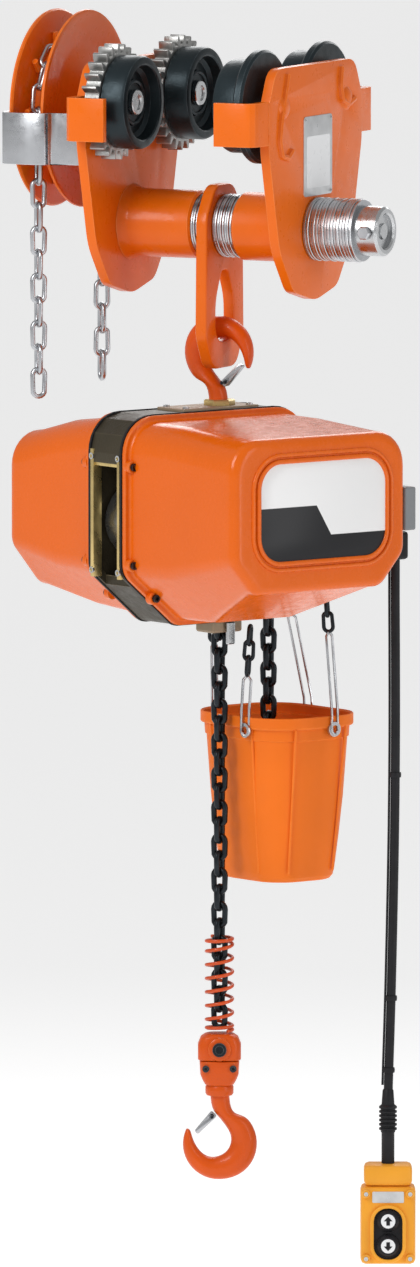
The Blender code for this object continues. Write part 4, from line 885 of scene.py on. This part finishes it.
def cover_rings(sign, middle, nose, end, round_r):
    """Flange, step, the long drawn side and a rounded closed end."""
    start = sign * (FRAME_HALF + 0.0003)
    rings = [
        (start, body_section(0.0006)), (start + sign * 0.0008, body_section(0)),
        (start + sign * 0.005, body_section(0)), (start + sign * 0.006, body_section(0.0008)),
        (start + sign * 0.0066, body_section(0.0048)), (start + sign * 0.0074, body_section(0.0062)),
        (start + sign * 0.009, body_section(0.007)), (start + sign * 0.013, body_section(0.0074)),
        (sign * middle[0], section(*middle[1])), (sign * (nose[0] - 0.006), section(*nose[1])),
        (sign * nose[0], section(*nose[1]))]
    for k in range(1, 7):
        angle = math.radians(15 * k)
        rings.append(
            (sign * (end - round_r * (1 - math.sin(angle))),
            shrunk(nose[1], round_r * (1 - math.cos(angle)))))
    rings.append((sign * end, shrunk(nose[1], round_r + 0.006)))
    return [[(u, w, z) for w, z in outline] for u, outline in rings]


front_nose = (FRONT_U - 0.011, (0.131, 0.112, -0.034, 0.096, -0.074, (0.022, 0.024, 0.040)))
front_middle = (0.110, (0.130, 0.119, -0.056, 0.062, -0.118, (0.022, 0.028, 0.038)))
rear_nose = (-REAR_U - 0.013, (0.131, 0.094, -0.042, 0.088, -0.094, (0.022, 0.026, 0.040)))
rear_middle = (0.110, (0.131, 0.112, -0.056, 0.066, -0.113, (0.022, 0.028, 0.040)))
WALL = ("SOLIDIFY", {"thickness": 0.003, "offset": -1})
for name, sign, middle, nose, end, node in (
        ("drawn_front_cover", 1, front_middle, front_nose, FRONT_U, "front_cover"),
        ("drawn_rear_cover", -1, rear_middle, rear_nose, -REAR_U, "rear_cover")):
    skin = loft(cover_rings(sign, middle, nose, end, 0.011 if sign > 0 else 0.013), close_start=False)
    finish_piece(name, skin, HOIST, "cover_enamel", "hoist", [node], smooth=16, modifiers=[WALL])
bpy.data.objects["drawn_front_cover"].data.shade_smooth()

# %% [markdown]
# Bosses on both covers take the long screws that clamp the body together, with a black socket head in each.
# %% Cover bosses and screws
BOSSES = [
    (-0.1315, 0.068), (0.1315, 0.068), (-0.1315, -0.05), (0.1315, -0.05), (-0.0985, -0.0915),
    (0.0985, -0.0915)]
boss_meshes, screw_spots = [], []
for sign, face in ((1, FRAME_HALF + 0.005), (-1, -FRAME_HALF - 0.005)):
    for w, z in BOSSES:
        at = Matrix.Translation((face, BODY_W + w, BODY_Z + z)) @ Matrix.Rotation(
            sign * math.pi / 2, 4, "Y")
        boss_meshes.append(
            moved(lathe([(0, 0), (0.0078, 0), (0.0078, 0.0075), (0.0066, 0.009), (0, 0.009)], 24), at))
        screw_spots.append((at @ Vector((0, 0, 0.0105)), (sign, 0, 0), 0.0))
finish_piece("cover_bosses", joined(*boss_meshes), HOIST, "cover_enamel", "hoist")
repeated(
    "cover_screws", SCREW_TREE, screw_spots, HOIST, "chain_steel", "hoist", Radius=0.0048, Height=0.0042)

# %% [markdown]
# The front carries a printed plate inside a double raised rim. The print is two plain fields, pale above and
# black below, that meet in a step. The rims are round bars bent to the plate's outline.
# %% Name plate
PLATE_W, PLATE_Z, PLATE_WIDE, PLATE_TALL, PLATE_ROUND = -0.032, -0.323, 0.188, 0.116, 0.030


def plate_outline(grow):
    half_w, half_t = PLATE_WIDE / 2 + grow, PLATE_TALL / 2 + grow
    radius = PLATE_ROUND + grow
    corners = [(half_w, -half_t, radius), (half_w, half_t, radius)]
    return [(PLATE_W + w, PLATE_Z + z) for w, z in rounded(mirrored(corners), 12)]


rims = [
    wire_mesh([(FRONT_U + lift, w, z) for w, z in plate_outline(grow)], thick, 12, cyclic=True) for grow,
    thick, lift in ((0.0105, 0.0026, 0.0002), (0.003, 0.0032, 0.0006))]
finish_piece("plate_rims", joined(*rims), HOIST, "cover_enamel", "hoist", smooth=60)

BAND_LEFT, BAND_RIGHT = PLATE_W - 0.010, PLATE_W + 0.012
BAND_HIGH, BAND_LOW = PLATE_Z - SHAFT_DROP + 0.006, PLATE_Z - SHAFT_DROP - 0.030
BAND_BLUR = 0.0003
printed = bpy.data.materials.new("two_field_print")
printed.use_nodes = True
print_tree = printed.node_tree
print_shader = print_tree.nodes["Principled BSDF"]
print_shader.inputs["Roughness"].default_value = 0.30
print_shader.inputs["Specular IOR Level"].default_value = 0.25
print_place = print_tree.nodes.new("ShaderNodeTexCoord").outputs["Object"]
print_turn = wired(
    print_tree, "ShaderNodeMapping", {"Vector": print_place, "Rotation": (0, 0, YAW)}, vector_type="POINT")
print_parts = wired(print_tree, "ShaderNodeSeparateXYZ", {"Vector": print_turn.outputs["Vector"]}).outputs
step_at = spread(print_tree, print_parts["Y"], BAND_LEFT, BAND_RIGHT, BAND_HIGH, BAND_LOW)
below = math_node(print_tree, "SUBTRACT", step_at, print_parts["Z"])
black_field = spread(print_tree, below, -BAND_BLUR, BAND_BLUR, 0, 1)
print_mix = wired(
    print_tree, "ShaderNodeMix", {"Factor": black_field, 6: (0.82, 0.82, 0.82, 1),
    7: (0.01, 0.01, 0.012, 1)}, data_type="RGBA")
print_tree.links.new(print_mix.outputs[2], print_shader.inputs["Base Color"])
FINISHES["two_field_print"], USUAL_SLOT["two_field_print"] = printed, "panel_print"
finish_piece(
    "name_plate", slab(plate_outline(0.0005), FRONT_U - 0.0002, FRONT_U + 0.0014), HOIST @ FACING_X,
    "two_field_print", "hoist", modifiers=[bevelled(0.0004, 2)])

# %% [markdown]
# Between the covers the casting is dark, with a rubber gasket against each cover and plated strips at the
# opening. A curved guard stands over the chain wheel inside.
# %% Middle of the body
gaskets = []
for sign in (-1, 1):
    low, high = sorted((sign * (FRAME_HALF - 0.0032), sign * (FRAME_HALF + 0.0001)))
    gaskets.append(moved(slab(body_section(-0.0012), low, high, body_section(0.004)), FACING_X))
finish_piece("gaskets", joined(*gaskets), HOIST, "black_rubber", "hoist")
NEAR_W = BODY_W - HALF_W
strips = [
    block((-0.0285, NEAR_W - 0.0012, BODY_Z - 0.068), (-0.0225, NEAR_W + 0.012, BODY_Z + 0.086), 0.0008, 2),
    block((0.0232, NEAR_W - 0.0012, BODY_Z - 0.068), (0.028, NEAR_W + 0.01, BODY_Z + 0.08), 0.0008, 2),
    block((-0.0225, NEAR_W + 0.001, BODY_Z + 0.066), (0.0232, NEAR_W + 0.01, BODY_Z + 0.074), 0.0008, 2)]
finish_piece("plated_strips", joined(*strips), HOIST, "yellow_chromate", "hoist")
guard_rings = []
for i in range(25):
    angle = math.radians(80 + 9.2 * i)
    for_side = [(-0.0215, 0.1000), (0.0215, 0.1000), (0.0215, 0.1025), (-0.0215, 0.1025)]
    guard_rings.append(
        [(u, -0.055 + r * math.cos(angle), BODY_Z - 0.002 + 0.62 * r * math.sin(angle)) for u,
        r in for_side])
finish_piece(
    "wheel_guard", loft(guard_rings), HOIST, "guard_steel", "hoist", smooth=40,
    modifiers=[bevelled(0.0006, 2, 50)])
back_plate = block(
    (-0.0225, NEAR_W + 0.06, BODY_Z - 0.075), (0.0225, NEAR_W + 0.063, BODY_Z - 0.004), 0.001, 2)
finish_piece("inner_plate", back_plate, HOIST, "motor_iron", "hoist")
top_plate = block(
    (-0.026, -0.075, BODY_Z + HALF_H - 0.001), (0.026, 0.04, BODY_Z + HALF_H + 0.0035), 0.0012, 3)
finish_piece("top_plate", top_plate, HOIST, "taupe_casting", "hoist")
frame_spots = [
    ((u, w, BODY_Z + HALF_H + 0.0045), (0, 0, 1), 0.0) for u in (-0.019, 0.019) for w in (-0.066, 0.031)]
frame_spots += [
    ((u, NEAR_W - 0.001, BODY_Z + z), (0, -1, 0), 0.0) for u in (-0.0255, 0.0256) for z in (0.077, -0.06)]
repeated(
    "frame_screws", SCREW_TREE, frame_spots, HOIST, "bright_steel", "hoist", slot="zinc_plate",
    Radius=0.004, Height=0.0026)
finish_piece(
    "hook_nut", lathe([(0.0122, -0.217), (0.019, -0.217), (0.019, -0.211), (0.0172, -0.2096),
    (0.0122, -0.2096)], 6, True), HOIST, "yellow_chromate", "hoist")
inlet = joined(
    block((0.214, 0.0955, -0.356), (0.238, 0.1125, -0.304), 0.0025, 3),
    moved(lathe([(0.003, 0), (0.0062, 0), (0.0062, 0.003), (0.003, 0.003)], 24, True),
    Matrix.Translation((0.226, 0.1115, -0.318)) @ ALONG_Y),
    moved(lathe([(0.003, 0), (0.0062, 0), (0.0062, 0.003), (0.003, 0.003)], 24, True),
    Matrix.Translation((0.226, 0.1115, -0.342)) @ ALONG_Y))
finish_piece("inlet_bracket", inlet, HOIST, "control_plastic", "hoist")

# %% [markdown]
# The limit spring is wound from round wire, with its last turns closed up at each end. Its radius and pitch
# are plain numbers, so its line is worked out turn by turn and given the wire's thickness.
# %% Limit spring
SPRING_TOP, SPRING_LONG, SPRING_R, SPRING_WIRE, TURNS = -0.859, 0.117, 0.0158, 0.0044, 8.5
spring_line, per_turn, close_turns = [], 20, 1.2
close_rise = SPRING_WIRE * 1.1
open_rise = (SPRING_LONG - SPRING_WIRE - 2 * close_turns * close_rise) / (TURNS - 2 * close_turns)
for i in range(int(TURNS * per_turn) + 1):
    turn = i / per_turn
    rise = (min(turn, close_turns) + max(turn - TURNS + close_turns, 0)) * close_rise
    rise += min(max(turn - close_turns, 0), TURNS - 2 * close_turns) * open_rise
    angle = 2 * math.pi * turn
    spring_line.append(
        (SPRING_R * math.cos(angle), SPRING_R * math.sin(angle),
        SPRING_TOP - SPRING_LONG + SPRING_WIRE / 2 + rise))
finish_piece(
    "wound_spring", wire_mesh(spring_line, SPRING_WIRE / 2, 12), HOIST, "spring_paint", "load",
    ["limit_spring"], smooth=60)

# %% [markdown]
# The hook block is a cast housing in two halves. The upper one grips the chain's end between two cheeks, and
# the lower one holds the bearing that the hook turns on. Socket screws clamp both.
# %% Hook block


def housing(name, levels, depth, node):
    """Rounded sections, given as (height, half width, share of the depth)."""
    rings = []
    for z, half, share in levels:
        outline = rounded(
            [(half, -depth * share, 0.011), (half, depth * share, 0.011), (-half, depth * share, 0.011),
            (-half, -depth * share, 0.011)], 6)
        rings.append([(x, y, z) for x, y in outline])
    finish_piece(
        name, loft(rings), HOOK, "forged_enamel", "load", [node], smooth=40,
        modifiers=[bevelled(0.0012, 3, 25)])


housing(
    "block_cheeks", [(-1.0092, 0.025, 0.94), (-1.008, 0.026, 1.0), (-0.99, 0.026, 1.0),
    (-0.9815, 0.0225, 0.95), (-0.978, 0.0175, 0.85), (-0.9772, 0.015, 0.78)], 0.02, "block_upper")
housing(
    "block_bearing", [(-1.04, 0.015, 0.8), (-1.0388, 0.0175, 0.86), (-1.033, 0.0205, 0.96),
    (-1.026, 0.0232, 1.0), (-1.0112, 0.024, 1.0), (-1.01, 0.0232, 0.95)], 0.02, "block_lower")
cheek = lathe([(0, -0.0235), (0.0115, -0.0235), (0.0135, -0.0222), (0.0145, -0.0195), (0, -0.0195)], 40)
cheeks = [
    moved(
        cheek.copy(),
        HOOK @ Matrix.Translation((0, 0, -0.995)) @ Matrix.Rotation(flip, 4, "Z") @ ALONG_Y)
    for flip in (0, math.pi)]
finish_piece("block_bosses", joined(*cheeks), Matrix(), "forged_enamel", "load")
pin_ends = [((0, sign * 0.0245, -0.995), (0, sign, 0), 0.0) for sign in (-1, 1)]
repeated(
    "block_pin_heads", SCREW_TREE, pin_ends, HOOK, "chain_steel", "load", ["block_pin"], Radius=0.0086,
    Height=0.0044)
clamp_spots = [
    ((x, sign * 0.0204, -1.0185), (0, sign, 0), 0.0) for x in (-0.0165, 0.0165) for sign in (-1, 1)]
repeated("block_screws", SCREW_TREE, clamp_spots, HOOK, "chain_steel", "load", Radius=0.0042, Height=0.0034)

# %% [markdown]
# The chain bucket is a moulded tub: rounded corners, a rim band, a step below it and a narrower foot.
# Its wall is the same all round, so an open skin is given a thickness.
# %% Chain bucket
BUCKET_U, BUCKET_W, BUCKET_MID = 0.170, 0.140, 0.088
BUCKET_TOP, BUCKET_BOTTOM = -0.592, -0.794


def tub_ring(share, z, out=0.0):
    half_u, half_w = BUCKET_U / 2 * share + out, BUCKET_W / 2 * share + out
    corner = 0.048 * share + out
    outline = rounded(mirrored([(half_u, -half_w, corner), (half_u, half_w, corner)]), 10)
    return [(u, BUCKET_MID + w, z) for u, w in outline]


tub_levels = [
    (1, 0, 0.0032), (1, -0.001, 0.0042), (1, -0.0125, 0.0042), (1, -0.014, 0.0034), (0.995, -0.015, 0),
    (0.985, -0.028, 0), (0.98, -0.0292, -0.0014), (0.965, -0.047, -0.0014), (0.905, -0.1, 0),
    (0.84, -0.152, 0), (0.785, -0.19, 0), (0.765, -0.1965, 0), (0.725, -0.201, 0), (0.69, -0.202, 0)]
tub = loft([tub_ring(share, BUCKET_TOP + z, out) for share, z, out in tub_levels], close_start=False)
finish_piece(
    "moulded_tub", tub, HOIST, "bucket_plastic", "bucket", ["chain_bucket"], smooth=22,
    modifiers=[("SOLIDIFY", {"thickness": 0.003, "offset": -1})])
tub_ribs = []
for u, w, lean_u, lean_w in ((-0.0855, 0.050, 0.0195, 0.004), (-0.0855, 0.126, 0.0195, -0.005),
                             (0.0855, 0.050, -0.0195, 0.004), (0.0855, 0.126, -0.0195, -0.005),
                             (-0.040, 0.0178, 0.006, 0.0160), (0.040, 0.0178, -0.006, 0.0160)):
    tub_ribs.append(
        wire_mesh([(u, w, BUCKET_TOP - 0.014), (u + lean_u, w + lean_w, BUCKET_BOTTOM + 0.012)], 0.0016, 8))
finish_piece("tub_ribs", joined(*tub_ribs), HOIST, "bucket_plastic", "bucket")
HANGERS = {
    "near": ((0.035, 0.02, -0.48), (0.035, 0.0118)), "right": ((0.083, 0.096, -0.428), (0.0912, 0.105)),
    "far": ((-0.035, 0.122, -0.42), (-0.035, 0.1642)), "left": ((-0.083, 0.056, -0.452), (-0.0912, 0.064))}
for name, (top, (end_u, end_w)) in HANGERS.items():
    top, foot = Vector(top), Vector((end_u, end_w, BUCKET_TOP + 0.004))
    along = (foot - top).normalized()
    pitch, links = 0.0185, 3
    spots = [
        (top + along * (0.004 + pitch * (i + 0.5)), along,
        math.pi / 2 * (i % 2) + 0.5) for i in range(links)]
    repeated(
        f"hanger_links_{name}", CHAIN_TREE, spots, HOIST, "chain_steel", "bucket", Wire=0.0048, Width=0.016,
        Length=pitch + 0.0094)
    start = top + along * (0.006 + pitch * links)
    side = along.cross(Vector((end_u, end_w - BUCKET_MID, 0)).normalized()).normalized() * 0.0052
    low = foot - Vector((0, 0, 0.022))
    loop = [
        start, start + along * 0.006 + side, foot + side - along * 0.004, low + side,
        low + side * 0.3 - Vector((0, 0, 0.004)), low - side * 0.3 - Vector((0, 0, 0.004)), low - side,
        foot - side - along * 0.004, start + along * 0.006 - side]
    finish_piece(
        f"hanger_wire_{name}", wire_mesh(loop, 0.0017, 10, cyclic=True, smooth_line=True), HOIST,
        "zinc_plate", "bucket", [f"bucket_hanger_{name}"], smooth=60)
    eye_turn = Matrix.Translation(
        (end_u * 0.985, BUCKET_MID + (end_w - BUCKET_MID) * 0.985, BUCKET_TOP - 0.016))
    outward = Vector((end_u, 0, 0)) if name in ("right", "left") else Vector((0, end_w - BUCKET_MID, 0))
    eye = moved(
        lathe([(0.005, -0.002), (0.0088, -0.002), (0.0094, 0), (0.0088, 0.002), (0.005, 0.002)], 28, True),
        eye_turn @ outward.to_track_quat("Z", "X").to_matrix().to_4x4())
    finish_piece(f"tub_eye_{name}", eye, HOIST, "zinc_plate", "bucket")

# %% [markdown]
# The handset is two moulded shells with a raised bezel round the buttons, screwed ears at the corners and a
# blank label at the head. Each button carries a pale disc with a plain arrow.
# %% Pendant handset
HANDSET = TROLLEY @ Matrix.Translation((0.2162, 0.0188, 0)) @ Matrix.Rotation(YAW, 4, "Z")
DEEP = 0.023
refined("handset_case", "pendant_case", "pendant_plastic", "pendant", 0.0007, 2, 40)
refined("handset_cap", "pendant_cap", "pendant_plastic", "pendant", 0.0007, 2, 40)
FACING_FRONT = Matrix.Rotation(math.pi / 2, 4, "X")


def front_outline(half_w, low, high, radius, steps=8):
    return rounded(
        [(half_w, low, radius), (half_w, high, radius), (-half_w, high, radius), (-half_w, low, radius)],
        steps)


bezel = slab(
    front_outline(0.0215, -1.2425, -1.1725, 0.02), DEEP - 0.001, DEEP + 0.0052,
    front_outline(0.0172, -1.2385, -1.1765, 0.016))
finish_piece(
    "button_bezel", bezel, HANDSET @ FACING_FRONT, "pendant_plastic", "pendant",
    modifiers=[bevelled(0.0012, 3)])
field = slab(front_outline(0.0172, -1.2385, -1.1765, 0.0160), DEEP - 0.0005, DEEP + 0.0008)
finish_piece("button_field", field, HANDSET @ FACING_FRONT, "black_rubber", "pendant")
label = slab(front_outline(0.0190, -1.1700, -1.1565, 0.0015), DEEP - 0.0003, DEEP + 0.0006)
finish_piece("handset_label", label, HANDSET @ FACING_FRONT, "label_foil", "pendant")
ears = [
    moved(
        lathe([(0, 0), (0.0052, 0), (0.0052, 0.0045), (0.0044, 0.0055), (0, 0.0055)], 24),
        Matrix.Translation((x, -DEEP + 0.0012, z)) @ FACING_FRONT)
    for x in (-0.0265, 0.0265) for z in (-1.2375, -1.159)]
finish_piece("handset_ears", joined(*ears), HANDSET, "pendant_plastic", "pendant")
ear_spots = [
    ((x, -DEEP - 0.0050, z), (0, -1, 0), 0.0) for x in (-0.0265, 0.0265) for z in (-1.2375, -1.1590)]
repeated(
    "handset_screws", SCREW_TREE, ear_spots, HANDSET, "bright_steel", "pendant", slot="zinc_plate",
    Radius=0.0026, Height=0.0014)
for name, height, sense in (("up", -1.1914, 1), ("down", -1.2216, -1)):
    face = DEEP + 0.008
    disc = lathe(
        [(0, face - 0.0006), (0.0086, face - 0.0006), (0.0086, face + 0.0003), (0.0082, face + 0.0005),
        (0, face + 0.0005)], 40)
    at = HANDSET @ Matrix.Translation((0, 0, height)) @ FACING_FRONT
    finish_piece(f"{name}_disc", disc, at, "white_print", f"{name}_button")
    arrow = [
        (-0.0022, -0.005), (0.0022, -0.005), (0.0022, 0.0002), (0.0052, 0.0002), (0, 0.0058),
        (-0.0052, 0.0002), (-0.0022, 0.0002)]
    mark = slab([(x, y * sense) for x, y in arrow], face + 0.0002, face + 0.0008)
    finish_piece(f"{name}_arrow", mark, at, "black_rubber", f"{name}_button")

# %% [markdown]
# The cable enters the handset through a ribbed rubber boot, and ties hold the strain wire to it on the way up.
# %% Boot and ties on the cable
boot_profile = [(0.0056, -1.0350), (0.0066, -1.0365), (0.0078, -1.0535)]
for i in range(6):
    z = -1.0560 - i * 0.0052
    boot_profile += [(0.0108, z), (0.0108, z - 0.0022), (0.0088, z - 0.0030), (0.0088, z - 0.0046)]
boot_profile += [(0.0078, -1.0880), (0.0078, -1.1248), (0, -1.1248)]
finish_piece(
    "ribbed_boot", lathe(boot_profile, 40), HANDSET, "black_rubber", "pendant", ["cable_boot"], smooth=40)
ties = []
for x, y, z in ((0.2235, 0.0224, -0.655), (0.2193, 0.0204, -0.925), (0.2170, 0.0192, -1.012)):
    ties.append(
        moved(lathe([(0.0052, -0.003), (0.007, -0.003), (0.0074, 0), (0.007, 0.003), (0.0052, 0.003)], 24,
        True), Matrix.Translation((x, y, z))))
finish_piece("cable_ties", joined(*ties), TROLLEY, "black_rubber", "pendant")
strain = [(x - 0.0060, y - 0.0040, z) for x, y, z in CABLE_ROUTE[:-1]]
finish_piece(
    "strain_wire", wire_mesh(strain, 0.0016, 8, smooth_line=True), TROLLEY, "black_rubber", "pendant",
    smooth=60)

# %% [markdown]
# The solid parts whose own shape is right stay, and only get a finish. Each takes the first finish of its
# material slot, with a few parts named on their own where they differ from the rest of their slot.
# %% Finishes of the solid parts
BY_SLOT = {}
for name, slot in USUAL_SLOT.items():
    BY_SLOT.setdefault(slot, name)
BY_NODE = {
    "drive_gear_front": "gear_steel", "drive_gear_rear": "gear_steel", "drive_pinion": "gear_steel",
    "load_sheave": "guard_steel", "up_button": "button_rubber", "down_button": "button_rubber",
    "chain_outlet_guide": "taupe_casting"}
slot_of = {row["node"]: row["material_slot"] for row in frame["record"]["subparts"]}
for node, part in frame["nodes"].items():
    chosen = BY_NODE.get(node, BY_SLOT[slot_of[node]])
    part.data.materials.clear()
    part.data.materials.append(FINISHES[chosen])
print(len(frame["nodes"]), "solid parts have a finish")

# %% [markdown]
# The hoist hangs over a plain pale floor. One large soft light from the upper left models the shapes, a
# weaker one fills the right side, and the pale surroundings keep the shadows open.
# %% Floor and lights
FLOOR_Z = -1.50
floor_mesh = bpy.data.meshes.new("floor")
FLOOR_HALF = 150
floor_corners = [(x * FLOOR_HALF, y * FLOOR_HALF, FLOOR_Z) for x, y in ((-1, -1), (1, -1), (1, 1), (-1, 1))]
floor_mesh.from_pydata(floor_corners, [], [(0, 1, 2, 3)])
floor = add_object("floor", floor_mesh)
floor_paint = bpy.data.materials.new("floor_paint")
floor_paint.use_nodes = True
floor_shader = floor_paint.node_tree.nodes["Principled BSDF"]
floor_shader.inputs["Base Color"].default_value = (0.90, 0.90, 0.90, 1)
floor_shader.inputs["Roughness"].default_value = 0.9
floor_shader.inputs["Emission Color"].default_value = (1, 1, 1, 1)
floor_shader.inputs["Emission Strength"].default_value = 0.42
floor_mesh.materials.append(floor_paint)
floor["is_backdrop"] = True

sky = bpy.data.worlds.new("studio")
bpy.context.scene.world = sky
sky.use_nodes = True
sky.node_tree.nodes["Background"].inputs["Color"].default_value = (1.0, 1.0, 1.0, 1)
sky.node_tree.nodes["Background"].inputs["Strength"].default_value = 0.44


def soft_light(name, from_right, from_back, from_up, size, power):
    """An area light aimed at the hoist, placed by the camera's own directions."""
    at = aim + right * from_right + back * from_back + up * from_up
    lamp = add_object(name, bpy.data.lights.new(name, "AREA"))
    lamp.data.shape = "RECTANGLE"
    lamp.data.size, lamp.data.size_y = size
    lamp.data.energy = power
    lamp.location = at
    lamp.rotation_mode = "QUATERNION"
    lamp.rotation_quaternion = (aim - at).to_track_quat("-Z", "Y")


soft_light("key", -1.7, 2.1, 1.7, (1.0, 1.8), 50)
soft_light("fill", 2.4, 1.6, 0.3, (0.8, 2.4), 16)
soft_light("rim", 0.4, -2.2, 1.8, (1.8, 1.2), 22)
bpy.context.scene.view_settings.view_transform = "Standard"
bpy.context.scene.view_settings.look = "None"
print("floor at", FLOOR_Z)

# %% [markdown]
# The box of the finished model is printed beside that of the solid one.
# %% Sizes and finish
visual_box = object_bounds()
for label, box in (("solid", solid_box), ("visual", visual_box)):
    print(label, [round(v, 4) for v in (*box[0], *box[1])])
